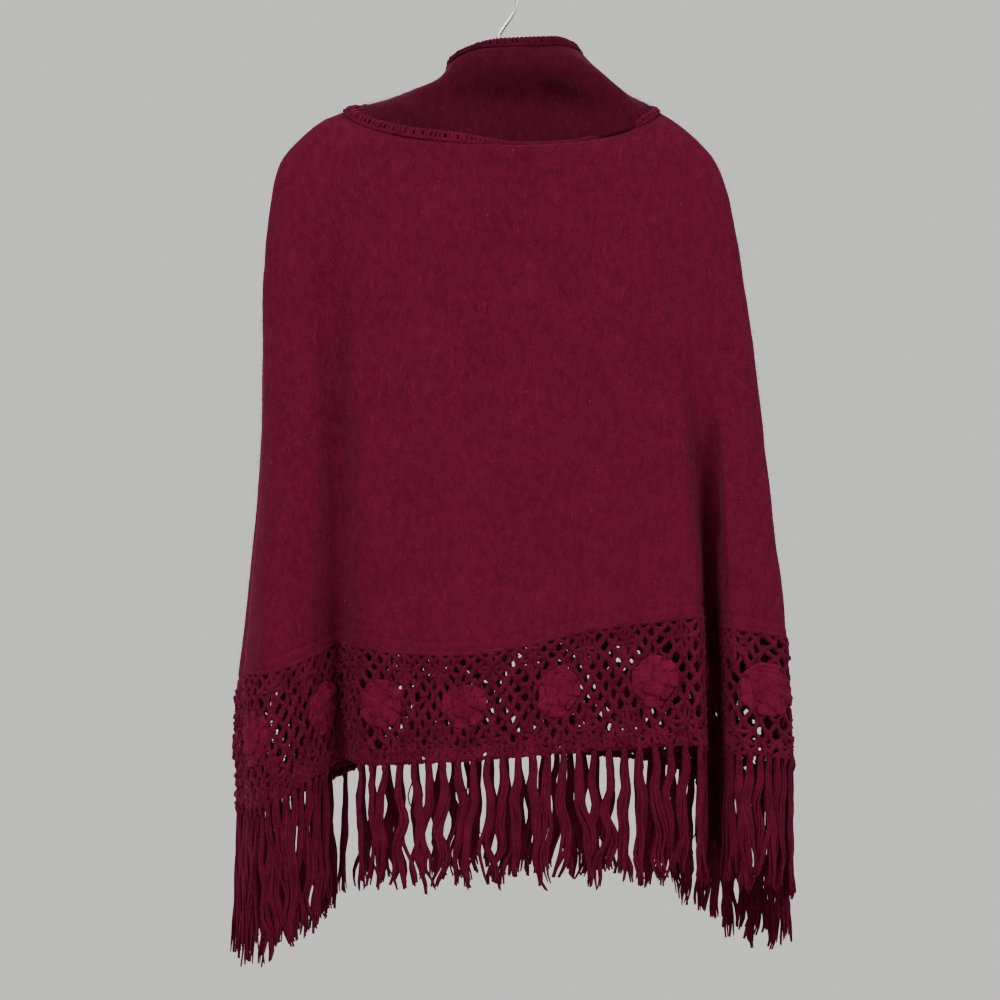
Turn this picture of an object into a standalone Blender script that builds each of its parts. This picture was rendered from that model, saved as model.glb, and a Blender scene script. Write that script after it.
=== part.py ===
"""A fringed bell-shaped poncho of brushed alpaca cloth, with a slumped funnel collar and a crocheted
lace border, hanging on a wire hanger.

Metres, +Z up, front towards -Y. The origin is where the inside of the hanger's hook rests on a rail.
The whole garment is one surface of rings round the neck, a table row for each ring. "around" runs from
the left seam (0) over the front to the right seam (1) and round the back to the left seam again (2).
"""

import math
import random

import bmesh
import bpy
import numpy as np
from mathutils import Vector
from mathutils.geometry import delaunay_2d_cdt

COLLECTION = "fringed poncho on a wire hanger"

# ---------------------------------------------------------------- driving sizes
CLOTH_THICKNESS = 0.0025
TRIM_THICKNESS = 0.0034
LACE_THICKNESS = 0.0028
SEAM_GAP = 0.0003
RIDGE_ROUNDING = 0.10
FOLD_GROWTH = 1.4

REPEATS_A_SIDE = 8
COLUMNS_PER_REPEAT = 5
REPEAT_WIDTH = 0.091
LACE_HEIGHT = 0.110
ROSETTE_DOWN = 0.056

STRANDS_PER_REPEAT = 10
STRIP_HEIGHT = 0.0045
STRAND_DRIFT = 0.006
STRAND_UNEVENNESS = 0.14
STRAND_KNEE = 0.45
STRAND_KNEE_SHARE = 0.78
STRAND_TIP_SHARE = 0.55
FRINGE_SEED = 11

WIRE_DIAMETER = 0.0035
HOOK_INNER_RADIUS = 0.0175

# A ring round the garment a row, from the rim of the collar down to the edge of the lace. "height" is
# at the side seams, and the middles of the front and the back hang lower by their drops. "rim", "hem" and
# "edge" say how far the lifts of the rim, the hem and the lace's edge have come in, and "hollow" is how
# deep the collar's front is pushed in.
SECTION_COLUMNS = ("name", "height", "front_drop", "back_drop", "left", "right", "front", "back",
                   "rim", "hollow", "hem", "edge")
SECTIONS = (
    ("rim", -0.0800, -0.0065, -0.0010, -0.046, 0.074, 0.036, 0.033, 1.0, 0.000, 0.00, 0.00),
    ("rim seam", -0.0880, -0.0060, -0.0020, -0.049, 0.083, 0.042, 0.035, 0.9, 0.000, 0.00, 0.00),
    ("roll", -0.1000, -0.0010, -0.0040, -0.053, 0.095, 0.049, 0.037, 0.5, 0.000, 0.00, 0.00),
    ("under roll", -0.1110, 0.0030, -0.0060, -0.063, 0.108, 0.051, 0.038, 0.2, 0.010, 0.00, 0.00),
    ("hollow", -0.1210, 0.0090, -0.0080, -0.083, 0.122, 0.050, 0.040, 0.0, 0.020, 0.00, 0.00),
    ("collar fall", -0.1290, 0.0190, -0.0090, -0.107, 0.136, 0.049, 0.042, 0.0, 0.016, 0.00, 0.00),
    ("collar foot", -0.1345, 0.0275, -0.0100, -0.128, 0.149, 0.049, 0.044, 0.0, 0.008, 0.00, 0.00),
    ("collar seam", -0.1385, 0.0330, -0.0100, -0.143, 0.155, 0.050, 0.045, 0.0, 0.003, 0.00, 0.00),
    ("neck seam", -0.1430, 0.0380, -0.0090, -0.154, 0.160, 0.051, 0.046, 0.0, 0.000, 0.00, 0.00),
    ("shoulder", -0.1535, 0.0340, -0.0060, -0.177, 0.177, 0.050, 0.046, 0.0, 0.000, 0.00, 0.00),
    ("hanger ends", -0.1725, 0.0300, 0.0010, -0.200, 0.200, 0.048, 0.045, 0.0, 0.000, 0.00, 0.00),
    ("below hanger", -0.1955, 0.0260, 0.0080, -0.217, 0.218, 0.046, 0.043, 0.0, 0.000, 0.00, 0.00),
    ("chest", -0.2255, 0.0200, 0.0080, -0.225, 0.229, 0.045, 0.042, 0.0, 0.000, 0.02, 0.00),
    ("body 1", -0.2705, 0.0120, 0.0050, -0.231, 0.238, 0.044, 0.042, 0.0, 0.000, 0.06, 0.00),
    ("body 2", -0.3255, 0.0040, 0.0020, -0.235, 0.247, 0.045, 0.043, 0.0, 0.000, 0.14, 0.00),
    ("body 3", -0.3855, 0.0000, 0.0000, -0.236, 0.256, 0.046, 0.045, 0.0, 0.000, 0.25, 0.00),
    ("body 4", -0.4455, 0.0000, 0.0000, -0.238, 0.263, 0.048, 0.047, 0.0, 0.000, 0.38, 0.00),
    ("body 5", -0.5055, 0.0000, 0.0000, -0.242, 0.270, 0.051, 0.050, 0.0, 0.000, 0.53, 0.00),
    ("body 6", -0.5655, 0.0000, 0.0000, -0.249, 0.276, 0.054, 0.053, 0.0, 0.000, 0.69, 0.00),
    ("body 7", -0.6255, 0.0000, 0.0000, -0.256, 0.283, 0.057, 0.056, 0.0, 0.000, 0.86, 0.00),
    ("hem", -0.6805, 0.0000, 0.0000, -0.262, 0.287, 0.060, 0.059, 0.0, 0.000, 1.00, 0.00),
    ("lace edge", -0.7905, 0.0000, 0.0000, -0.261, 0.292, 0.062, 0.061, 0.0, 0.000, 0.00, 1.00),
)

# How the collar's rim lifts, and how deep its front is pushed in, a place round the neck a row.
COLLAR_PLACE_COLUMNS = ("around", "lift", "hollow")
COLLAR_PLACES = (
    (0.00, -0.014, 0.00),  # the left end of the rim sags
    (0.12, -0.009, 0.15),
    (0.27, -0.005, 0.65),
    (0.42, -0.001, 0.95),
    (0.56, 0.001, 1.10),
    (0.70, 0.004, 0.95),
    (0.79, 0.006, 0.35),  # a ridge runs down the right of the hollow
    (0.87, 0.005, -0.10),
    (1.00, 0.001, 0.00),
    (1.15, -0.003, 0.00),
    (1.35, -0.005, 0.10),
    (1.50, -0.006, 0.25),
    (1.65, -0.007, 0.10),
    (1.85, -0.011, 0.00),
)

# The lines that the cloth folds along, in order round the garment. At the lace's edge a line stands at
# "side", a share of the ring's reach, and at "depth", behind the hanger where it is positive. Its fold
# comes in from section "start" down, the sooner the higher its "haste". "hem" and "edge" lift the hem of
# the cloth and the edge of the lace there, and "fringe" is the fringe's length.
FOLD_COLUMNS = ("around", "side", "depth", "start", "haste", "hem", "edge", "fringe")
FOLDS = (
    (0.000, -0.935, -0.004, 13.0, 1.0, -0.032, -0.034, 0.144),  # left seam, in a shallow valley
    (0.070, -0.945, -0.036, 13.0, 1.0, -0.021, -0.026, 0.142),  # left lobe, outer side
    (0.130, -0.850, -0.070, 12.0, 1.1, -0.019, -0.024, 0.138),  # left lobe, crest
    (0.200, -0.700, -0.052, 11.5, 1.1, -0.004, -0.016, 0.134),  # left lobe, inner flank
    (0.250, -0.590, -0.010, 11.5, 1.1, 0.009, -0.004, 0.130),  # left valley
    (0.290, -0.515, -0.046, 12.0, 1.0, 0.006, 0.000, 0.128),  # middle panel, left ridge
    (0.370, -0.340, -0.068, 15.0, 1.0, 0.000, 0.002, 0.126),
    (0.500, 0.000, -0.070, 16.0, 1.0, 0.003, 0.007, 0.128),
    (0.600, 0.330, -0.066, 16.0, 1.0, 0.023, 0.015, 0.132),
    (0.735, 0.690, -0.061, 15.0, 1.0, 0.036, 0.020, 0.134),  # middle panel, right ridge
    (0.775, 0.736, -0.010, 15.0, 2.4, 0.032, 0.016, 0.132),  # right valley
    (0.815, 0.785, -0.050, 15.0, 1.2, 0.025, 0.012, 0.130),  # right lobe, inner side
    (0.880, 0.900, -0.061, 14.0, 1.0, 0.020, 0.009, 0.128),  # right lobe, crest
    (0.945, 0.995, -0.036, 14.0, 1.0, 0.012, 0.002, 0.132),  # right lobe, outer side
    (1.000, 0.975, -0.006, 14.0, 1.0, -0.012, -0.014, 0.138),  # right seam
    (1.060, 0.985, 0.030, 14.0, 1.0, -0.032, -0.034, 0.142),  # back right lobe, outer side
    (1.125, 0.890, 0.062, 13.0, 1.0, -0.040, -0.042, 0.142),  # back right lobe, crest
    (1.200, 0.760, 0.048, 13.0, 1.0, -0.030, -0.030, 0.136),
    (1.250, 0.670, 0.020, 13.0, 1.2, -0.012, -0.016, 0.130),  # back right valley
    (1.300, 0.580, 0.048, 13.0, 1.0, 0.000, -0.006, 0.126),
    (1.390, 0.320, 0.067, 16.0, 1.0, 0.006, 0.002, 0.124),
    (1.500, 0.020, 0.050, 14.0, 1.0, 0.010, 0.008, 0.124),  # soft hollow down the middle of the back
    (1.610, -0.280, 0.068, 16.0, 1.0, 0.004, 0.002, 0.124),
    (1.700, -0.530, 0.058, 13.0, 1.0, -0.006, -0.008, 0.128),
    (1.755, -0.630, 0.022, 13.0, 1.2, -0.014, -0.018, 0.134),  # back left valley
    (1.810, -0.740, 0.048, 13.0, 1.0, -0.028, -0.032, 0.142),
    (1.880, -0.900, 0.060, 13.0, 1.0, -0.042, -0.044, 0.152),  # back left lobe, crest
    (1.945, -1.000, 0.034, 14.0, 1.0, -0.043, -0.046, 0.152),  # back left lobe, outer side
)

# The largest gaps of one lace repeat, from its rosette's middle line and the cloth's hem. A gap off the
# middle line is there on both sides, and one on the line between two rosettes belongs to both.
GAP_COLUMNS = ("across", "down", "width", "height")
PAIRED_GAPS = (
    (0.0075, 0.0135, 0.0095, 0.0095),  # upper net
    (0.0225, 0.0135, 0.0095, 0.0095),
    (0.0170, 0.0270, 0.0115, 0.0125),  # over the rosette
    (0.0315, 0.0345, 0.0090, 0.0130),  # beside the rosette
    (0.0335, 0.0560, 0.0085, 0.0120),
    (0.0315, 0.0750, 0.0085, 0.0125),
    (0.0200, 0.0865, 0.0110, 0.0115),  # under the rosette
)
SHARED_GAPS = (
    (0.0455, 0.0210, 0.0105, 0.0125),
    (0.0455, 0.0385, 0.0090, 0.0120),
    (0.0455, 0.0560, 0.0090, 0.0120),
    (0.0455, 0.0735, 0.0090, 0.0120),
    (0.0455, 0.0905, 0.0110, 0.0125),
)

# Rings of a crocheted rosette, out from its middle: how far the outer face is raised over the petals
# and over the grooves between them.
ROSETTE_COLUMNS = ("radius", "points", "petal_height", "groove_height")
ROSETTE_RINGS = (
    (0.0095, 8, 0.0006, 0.0006),
    (0.0175, 16, 0.0042, 0.0004),
)
ROSETTE_BUTTON_HEIGHT = 0.0052

# One arm of the hanger, out from its twisted stem: across and up. Both arms are alike.
ARM_POINTS = (
    (0.0065, -0.0885),
    (0.0200, -0.0985),
    (0.0450, -0.1115),
    (0.0750, -0.1228),
    (0.1150, -0.1357),
    (0.1526, -0.1468),
    (0.1752, -0.1566),
    (0.1875, -0.1668),
)
ARM_END_MIDDLE = (0.1925, -0.1815)
ARM_END_RADIUS = 0.0080
ARM_END_START = 45.0
ARM_END_STOP = -90.0
ARM_END_POINTS = 6
STEM_POINTS = (
    (0.0185, -0.0320),
    (0.0150, -0.0440),
    (0.0070, -0.0560),
    (0.0010, -0.0660),
    (0.0000, -0.0740),
    (0.0000, -0.0835),
)
HOOK_TIP_ANGLE = 205.0
HOOK_POINTS = 14
TWIST_TURNS = 2.5
TWIST_PITCH = 0.0043
TWIST_POINTS_PER_TURN = 8
TWIST_FOOT = -0.0845

# Sub-part colours, linear.
BURGUNDY = (0.105, 0.0060, 0.0210, 1.0)
DARK_BURGUNDY = (0.085, 0.0050, 0.0170, 1.0)
STEEL = (0.62, 0.62, 0.61, 1.0)

# ---------------------------------------------------------------- values worked out from those above
SECTION_NUMBER = {row[0]: number for number, row in enumerate(SECTIONS)}
HEM = SECTION_NUMBER["hem"]
LACE_EDGE = SECTION_NUMBER["lace edge"]
HALF_ROUND = 1.0
WHOLE_ROUND = 2.0
SLOPE_STEP = 0.002
ARC_SAMPLES = 801
MILLIMETRES = 1000.0
TRIANGLE_MERGE = 1e-6
BODY_RINGS = ("neck seam", "shoulder", "hanger ends", "below hanger", "chest", "body 2", "body 5", "hem")
COLLAR_RINGS = ("rim seam", "roll", "under roll", "hollow", "collar foot", "collar seam")


# ---------------------------------------------------------------- the garment's surface
def column(table, columns, name):
    """One named column of a table."""
    place = columns.index(name)
    return np.array([row[place] for row in table], float)


def smooth_curve(places, values, wanted, loop=None):
    """A cubic curve through a table's values, closed on itself after "loop" where that is given."""
    if loop:
        wanted = np.mod(wanted, loop)
        places = np.concatenate((places[-3:] - loop, places, places[:3] + loop))
        values = np.concatenate((values[-3:], values, values[:3]))
    slopes = np.gradient(values, places)
    cell = np.clip(np.searchsorted(places, wanted, side="right") - 1, 0, len(places) - 2)
    step = places[cell + 1] - places[cell]
    share = np.clip((wanted - places[cell]) / step, 0.0, 1.0)
    rise = share * share * (3.0 - 2.0 * share)
    lead = share * (1.0 - share) ** 2
    tail = share * share * (share - 1.0)
    level = values[cell] * (1.0 - rise) + values[cell + 1] * rise
    return level + step * (lead * slopes[cell] + tail * slopes[cell + 1])


def section_size(name, place):
    """A size of the ring at a section number, which may lie between two rows of the table."""
    numbers = np.arange(len(SECTIONS), dtype=float)
    return smooth_curve(numbers, column(SECTIONS, SECTION_COLUMNS, name), place)


def collar_value(name, around):
    places = column(COLLAR_PLACES, COLLAR_PLACE_COLUMNS, "around")
    return smooth_curve(places, column(COLLAR_PLACES, COLLAR_PLACE_COLUMNS, name), around, WHOLE_ROUND)


def fold_value(name, around):
    places = column(FOLDS, FOLD_COLUMNS, "around")
    return smooth_curve(places, column(FOLDS, FOLD_COLUMNS, name), around, WHOLE_ROUND)


def garment_points(around, place):
    """Points on the middle of the cloth, at places round the garment and down its sections."""
    around, place = np.broadcast_arrays(np.asarray(around, float), np.asarray(place, float))
    side = -np.cos(np.pi * around)
    ahead = np.sin(np.pi * around)
    is_front = ahead >= 0.0
    left = -section_size("left", place)
    right = section_size("right", place)
    depth = np.where(is_front, section_size("front", place), section_size("back", place))
    drop = np.where(is_front, section_size("front_drop", place), section_size("back_drop", place))
    sag = np.hypot(ahead, RIDGE_ROUNDING) - RIDGE_ROUNDING
    hollow = section_size("hollow", place) * collar_value("hollow", around)

    # The smooth oval that the cloth would have without folds.
    across = side * np.where(side < 0.0, left, right)
    back = -ahead * (depth - hollow)
    up = section_size("height", place) - drop * sag
    up = up + section_size("rim", place) * collar_value("lift", around)
    up = up + section_size("hem", place) * fold_value("hem", around)
    up = up + section_size("edge", place) * fold_value("edge", around)

    # The folded section that it has at the hem, coming in downwards.
    start = fold_value("start", around)
    grown = np.clip((place - start) / (LACE_EDGE - start), 0.0, 1.0) ** FOLD_GROWTH
    growth = 1.0 - (1.0 - grown) ** fold_value("haste", around)
    fold_side = fold_value("side", around)
    edge_depth = np.where(is_front, section_size("front", LACE_EDGE), section_size("back", LACE_EDGE))
    fold_across = fold_side * np.where(fold_side < 0.0, left, right)
    fold_back = fold_value("depth", around) * depth / edge_depth
    across = across + growth * (fold_across - across)
    back = back + growth * (fold_back - back)
    return np.stack((across, back, up), axis=-1)


def garment_normals(around, place):
    """Outward directions at the same places, turned level by the hem so that cut edges stay level."""
    along = garment_points(around + SLOPE_STEP, place) - garment_points(around - SLOPE_STEP, place)
    above = np.maximum(place - SLOPE_STEP, 0.0)
    below = np.minimum(place + SLOPE_STEP, LACE_EDGE)
    down = garment_points(around, below) - garment_points(around, above)
    normals = np.cross(down, along)
    normals[..., 2] *= 1.0 - section_size("hem", place) - section_size("edge", place)
    return normals / np.linalg.norm(normals, axis=-1, keepdims=True)


def even_places(start, share):
    """Places round the garment at shares of half the hem's length, from the seam at "start"."""
    fine = np.linspace(start, start + HALF_ROUND, ARC_SAMPLES)
    points = garment_points(fine, np.full(fine.shape, HEM + 0.5))
    steps = np.linalg.norm(np.diff(points, axis=0), axis=1)
    reached = np.concatenate(([0.0], np.cumsum(steps)))
    return np.interp(share, reached / reached[-1], fine)


def round_places(count_a_side):
    """Places all round the garment, evenly spaced along the hem on each side of it."""
    share = np.arange(count_a_side) / count_a_side
    return np.concatenate((even_places(0.0, share), even_places(HALF_ROUND, share)))


# ---------------------------------------------------------------- meshes
def add_object(name, mesh, material):
    mesh.shade_smooth()
    mesh.set_sharp_from_angle(angle=math.radians(35.0))
    mesh.materials.append(material)
    node = bpy.data.objects.new(name, mesh)
    bpy.data.collections[COLLECTION].objects.link(node)
    return node


def cut_edge_faces(outer, inner, next_outer, next_inner, upward):
    """Two faces across a wall's cut edge. All cut edges are split alike, so seams keep their gap."""
    faces = [(outer, inner, next_inner), (outer, next_inner, next_outer)]
    return [face[::-1] for face in faces] if upward else faces


def ring_wall(name, places, thickness, material):
    """A closed wall through whole rings round the garment, at section numbers from top to bottom."""
    around = round_places(REPEATS_A_SIDE * COLUMNS_PER_REPEAT)
    count = len(around)
    outside = []
    inside = []
    for place in places:
        points = garment_points(around, place)
        normals = garment_normals(around, place)
        outside.append(points + normals * thickness / 2.0)
        inside.append(points - normals * thickness / 2.0)
    inner_start = len(places) * count
    last_ring = inner_start - count
    faces = []
    for spot in range(count):
        beside = (spot + 1) % count
        for ring in range(0, last_ring, count):
            below = ring + count
            faces.append((ring + spot, below + spot, below + beside, ring + beside))
            faces.append((inner_start + ring + beside, inner_start + below + beside,
                          inner_start + below + spot, inner_start + ring + spot))
        for ring, upward in ((0, True), (last_ring, False)):
            faces += cut_edge_faces(ring + spot, inner_start + ring + spot,
                                    ring + beside, inner_start + ring + beside, upward)
    mesh = bpy.data.meshes.new(name)
    mesh.from_pydata(np.concatenate(outside + inside).tolist(), [], faces)
    return add_object(name, mesh, material)


def section_span(upper, lower, upper_gap, lower_gap):
    """Section numbers of two edges, moved in by their seam gaps."""
    top, bottom = SECTION_NUMBER[upper], SECTION_NUMBER[lower]
    height = np.linalg.norm(garment_points(0.5, bottom) - garment_points(0.5, top)) / (bottom - top)
    return top + upper_gap / height, bottom - lower_gap / height


# ---------------------------------------------------------------- cloth, collar and trims
def add_cloth(cloth, trim):
    """The body, the collar, and the crocheted bands at the neck and on the rim."""
    body = [float(SECTION_NUMBER[name]) for name in BODY_RINGS]
    collar = [float(SECTION_NUMBER[name]) for name in COLLAR_RINGS]
    neck_band = section_span("collar seam", "neck seam", SEAM_GAP, SEAM_GAP)
    rim_band = section_span("rim", "rim seam", 0.0, SEAM_GAP)
    ring_wall("poncho_body", body, CLOTH_THICKNESS, cloth)
    ring_wall("collar", collar, CLOTH_THICKNESS, cloth)
    ring_wall("neck_trim", neck_band, TRIM_THICKNESS, trim)
    ring_wall("collar_rim_trim", rim_band, TRIM_THICKNESS, trim)


# ---------------------------------------------------------------- lace
def lace_gaps():
    """The gaps of one side's lace, each with its middle, half width and half height."""
    gaps = []
    for repeat in range(REPEATS_A_SIDE):
        middle = (repeat + 0.5) * REPEAT_WIDTH
        for across, down, width, height in PAIRED_GAPS:
            gaps.append((middle - across, down, width / 2.0, height / 2.0))
            gaps.append((middle + across, down, width / 2.0, height / 2.0))
        if repeat + 1 < REPEATS_A_SIDE:
            for across, down, width, height in SHARED_GAPS:
                gaps.append((middle + across, down, width / 2.0, height / 2.0))
    return gaps


def rosette_points():
    """Raised points of one side's rosettes: along, down, and how far they stand out."""
    points = []
    for repeat in range(REPEATS_A_SIDE):
        middle = (repeat + 0.5) * REPEAT_WIDTH
        points.append((middle, ROSETTE_DOWN, ROSETTE_BUTTON_HEIGHT))
        for radius, count, petal_height, groove_height in ROSETTE_RINGS:
            for spot in range(count):
                angle = 2.0 * math.pi * spot / count
                raised = petal_height if spot % 2 == 0 else groove_height
                points.append((middle + radius * math.cos(angle), ROSETTE_DOWN + radius * math.sin(angle),
                               raised))
    return points


def lace_outline():
    """Corners of one side's flat lace strip, in order: its top meets the hem's columns, its lower edge
    the fringe's roots."""
    length = REPEATS_A_SIDE * REPEAT_WIDTH
    top_count = REPEATS_A_SIDE * COLUMNS_PER_REPEAT
    edge_count = REPEATS_A_SIDE * STRANDS_PER_REPEAT
    top = [(length * spot / top_count, 0.0) for spot in range(top_count + 1)]
    edge = [(length * spot / edge_count, LACE_HEIGHT) for spot in range(edge_count, -1, -1)]
    return top + edge


def flat_triangles(outline, gaps, extra):
    """Triangles of the flat lace with its gaps left out, as numbers of its points."""
    points = list(outline)
    edges = [(spot, (spot + 1) % len(outline)) for spot in range(len(outline))]
    for along, down, half_width, half_height in gaps:
        first = len(points)
        points += [(along - half_width, down), (along, down - half_height),
                   (along + half_width, down), (along, down + half_height)]
        edges += [(first + spot, first + (spot + 1) % 4) for spot in range(4)]
    points += extra
    flat = [Vector((along, -down)) * MILLIMETRES for along, down in points]
    found, _, faces, source, _, _ = delaunay_2d_cdt(flat, edges, [], 0, TRIANGLE_MERGE)
    number = [names[0] for names in source]
    triangles = []
    for face in faces:
        corners = [number[corner] for corner in face]
        along = sum(points[corner][0] for corner in corners) / 3.0
        down = sum(points[corner][1] for corner in corners) / 3.0
        in_gap = any(abs(along - gap[0]) / gap[2] + abs(down - gap[1]) / gap[3] < 1.0 for gap in gaps)
        if not in_gap:
            triangles.append(corners)
    return np.array(points), triangles


def open_edges(triangles):
    """Edges that only one triangle has, each in that triangle's direction."""
    used = {(a, b) for corners in triangles for a, b in zip(corners, corners[1:] + corners[:1])}
    return [edge for edge in used if (edge[1], edge[0]) not in used]


def add_lace(name, start, material):
    """The lace of one side: flat strip, gaps cut through, rosettes raised on its outer face only."""
    length = REPEATS_A_SIDE * REPEAT_WIDTH
    gaps = lace_gaps()
    raised = rosette_points()
    outline = lace_outline()
    points, outer_triangles = flat_triangles(outline, gaps, [spot[:2] for spot in raised])
    shared = len(points) - len(raised)
    _, inner_triangles = flat_triangles(outline, gaps, [])

    hem_gap, _ = section_span("hem", "lace edge", SEAM_GAP, 0.0)
    side_gap = SEAM_GAP / 2.0 / length
    around = even_places(start, np.clip(points[:, 0] / length, side_gap, 1.0 - side_gap))
    place = hem_gap + points[:, 1] / LACE_HEIGHT * (LACE_EDGE - hem_gap)
    middle = garment_points(around, place)
    normals = garment_normals(around, place)
    relief = np.zeros(len(points))
    relief[shared:] = [spot[2] for spot in raised]
    outer = middle + normals * (LACE_THICKNESS / 2.0 + relief)[:, None]
    inner = (middle - normals * LACE_THICKNESS / 2.0)[:shared]

    inner_start = len(outer)
    faces = [tuple(corners) for corners in outer_triangles]
    faces += [tuple(inner_start + corner for corner in reversed(corners)) for corners in inner_triangles]
    for first, second in sorted(open_edges(outer_triangles)):
        upward = points[first, 0] > points[second, 0]
        near, far = (second, first) if upward else (first, second)
        faces += cut_edge_faces(near, inner_start + near, far, inner_start + far, upward)
    mesh = bpy.data.meshes.new(name)
    mesh.from_pydata(np.concatenate((outer, inner)).tolist(), [], faces)
    return add_object(name, mesh, material)


# ---------------------------------------------------------------- fringe
def add_fringe(material):
    """Locks of three sides, each hanging from its own root triangle under one narrow strip."""
    around = round_places(REPEATS_A_SIDE * STRANDS_PER_REPEAT)
    count = len(around)
    edge = garment_points(around, LACE_EDGE)
    normals = garment_normals(around, LACE_EDGE)
    fall = np.array((0.0, 0.0, -1.0))
    top = edge + fall * SEAM_GAP
    bottom = top + fall * STRIP_HEIGHT
    half = normals * LACE_THICKNESS / 2.0
    following = np.roll(np.arange(count), -1)
    inner_bottom = (bottom - half + (bottom - half)[following]) / 2.0

    vertices = np.concatenate((top + half, top - half, bottom + half, inner_bottom)).tolist()
    outer_top, inner_top, outer_root, inner_root = (block * count for block in range(4))
    faces = []
    generator = random.Random(FRINGE_SEED)
    lengths = fold_value("fringe", around)
    for spot in range(count):
        beside = following[spot]
        faces.append((outer_top + spot, outer_root + spot, outer_root + beside, outer_top + beside))
        faces += cut_edge_faces(outer_top + spot, inner_top + spot,
                                outer_top + beside, inner_top + beside, True)
        faces.append((inner_top + beside, inner_root + spot, inner_top + spot))
        faces.append((inner_top + beside, inner_root + beside, inner_root + spot))
        faces.append((outer_root + beside, inner_root + spot, inner_root + beside))
        roots = (outer_root + spot, outer_root + beside, inner_root + spot)
        length = lengths[spot] * (1.0 - STRAND_UNEVENNESS * generator.random())
        faces += strand_faces(vertices, roots, length, generator)
    mesh = bpy.data.meshes.new("fringe")
    mesh.from_pydata(vertices, [], [tuple(int(corner) for corner in face) for face in faces])
    return add_object("fringe", mesh, material)


def strand_faces(vertices, roots, length, generator):
    """A lock in two lengths from three root points, which drifts aside and narrows to its end."""
    corners = np.array([vertices[root] for root in roots])
    middle = corners.mean(axis=0)
    above = roots
    faces = []
    drift = np.zeros(3)
    for fallen, share in ((STRAND_KNEE, STRAND_KNEE_SHARE), (1.0, STRAND_TIP_SHARE)):
        sideways = generator.uniform(-0.5, 0.5)
        forwards = generator.uniform(-0.3, 0.3)
        drift = drift + np.array((sideways, forwards, 0.0)) * STRAND_DRIFT
        spots = middle + (corners - middle) * share + drift
        spots[:, 2] = middle[2] - length * fallen
        first = len(vertices)
        vertices += spots.tolist()
        below = (first, first + 1, first + 2)
        for near, far in ((0, 1), (1, 2), (2, 0)):
            faces.append((above[near], below[near], below[far], above[far]))
        above = below
    faces.append(above[::-1])
    return faces


# ---------------------------------------------------------------- hanger
def hook_route():
    """The hook's points over the rail, from its free tip to the top of the stem."""
    radius = HOOK_INNER_RADIUS + WIRE_DIAMETER / 2.0
    angles = np.radians(np.linspace(HOOK_TIP_ANGLE, 0.0, HOOK_POINTS))
    return [(radius * math.cos(angle), 0.0, radius * math.sin(angle) - HOOK_INNER_RADIUS) for angle in angles]


def arm_route(side):
    """One arm, from the stem out and round its end to the bar."""
    points = [(side * across, 0.0, up) for across, up in ARM_POINTS]
    for degrees in np.linspace(ARM_END_START, ARM_END_STOP, ARM_END_POINTS):
        angle = math.radians(degrees)
        points.append((side * (ARM_END_MIDDLE[0] + ARM_END_RADIUS * math.cos(angle)), 0.0,
                       ARM_END_MIDDLE[1] + ARM_END_RADIUS * math.sin(angle)))
    return points


def twist_route():
    """The wire's end, wound up round the stem."""
    radius = WIRE_DIAMETER + SEAM_GAP
    count = round(TWIST_TURNS * TWIST_POINTS_PER_TURN)
    points = []
    for spot in range(count + 1):
        turns = spot / TWIST_POINTS_PER_TURN
        angle = 2.0 * math.pi * turns
        points.append((radius * math.cos(angle), -radius * math.sin(angle), TWIST_FOOT + TWIST_PITCH * turns))
    return points


def add_hanger(material):
    """One wire: hook, stem, left arm, bar, right arm, and its end wound round the stem."""
    stem = [(across, 0.0, up) for across, up in STEM_POINTS]
    route = hook_route() + stem + arm_route(-1.0) + arm_route(1.0)[::-1] + twist_route()
    curve = bpy.data.curves.new("hanger_wire", "CURVE")
    curve.dimensions = "3D"
    curve.bevel_depth = WIRE_DIAMETER / 2.0
    curve.bevel_resolution = 2
    curve.use_fill_caps = True
    spline = curve.splines.new("POLY")
    spline.points.add(len(route) - 1)
    for point, spot in zip(spline.points, route):
        point.co = (*spot, 1.0)
    curve.materials.append(material)
    wire = bpy.data.objects.new("hanger_wire", curve)
    bpy.data.collections[COLLECTION].objects.link(wire)
    return wire


# ---------------------------------------------------------------- scene
def new_material(name, colour, roughness, metallic):
    material = bpy.data.materials.new(name)
    material.use_nodes = True
    shader = material.node_tree.nodes["Principled BSDF"]
    shader.inputs["Base Color"].default_value = colour
    shader.inputs["Roughness"].default_value = roughness
    shader.inputs["Metallic"].default_value = metallic
    return material


def main():
    for item in list(bpy.data.objects):
        bpy.data.objects.remove(item, do_unlink=True)
    collection = bpy.data.collections.new(COLLECTION)
    bpy.context.scene.collection.children.link(collection)
    cloth = new_material("alpaca cloth", BURGUNDY, 0.9, 0.0)
    crochet = new_material("alpaca crochet", DARK_BURGUNDY, 0.9, 0.0)
    wire = new_material("steel wire", STEEL, 0.3, 1.0)
    add_cloth(cloth, crochet)
    add_lace("lace_front", 0.0, crochet)
    add_lace("lace_back", HALF_ROUND, crochet)
    add_fringe(crochet)
    add_hanger(wire)


main()
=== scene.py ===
"""The looks of a fringed alpaca poncho on a wire hanger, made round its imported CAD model.

Metres, +Z up, the garment's front towards -Y, and the origin where the hanger's hook rests, as in the
CAD model. The garment is one surface of rings round the neck, worked out here by the same tables and
functions as its CAD solids. The cloth, the crocheted lace and the fringe are all built on that surface.
"""

import math

import bpy
import numpy as np
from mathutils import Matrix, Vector, noise


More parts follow.
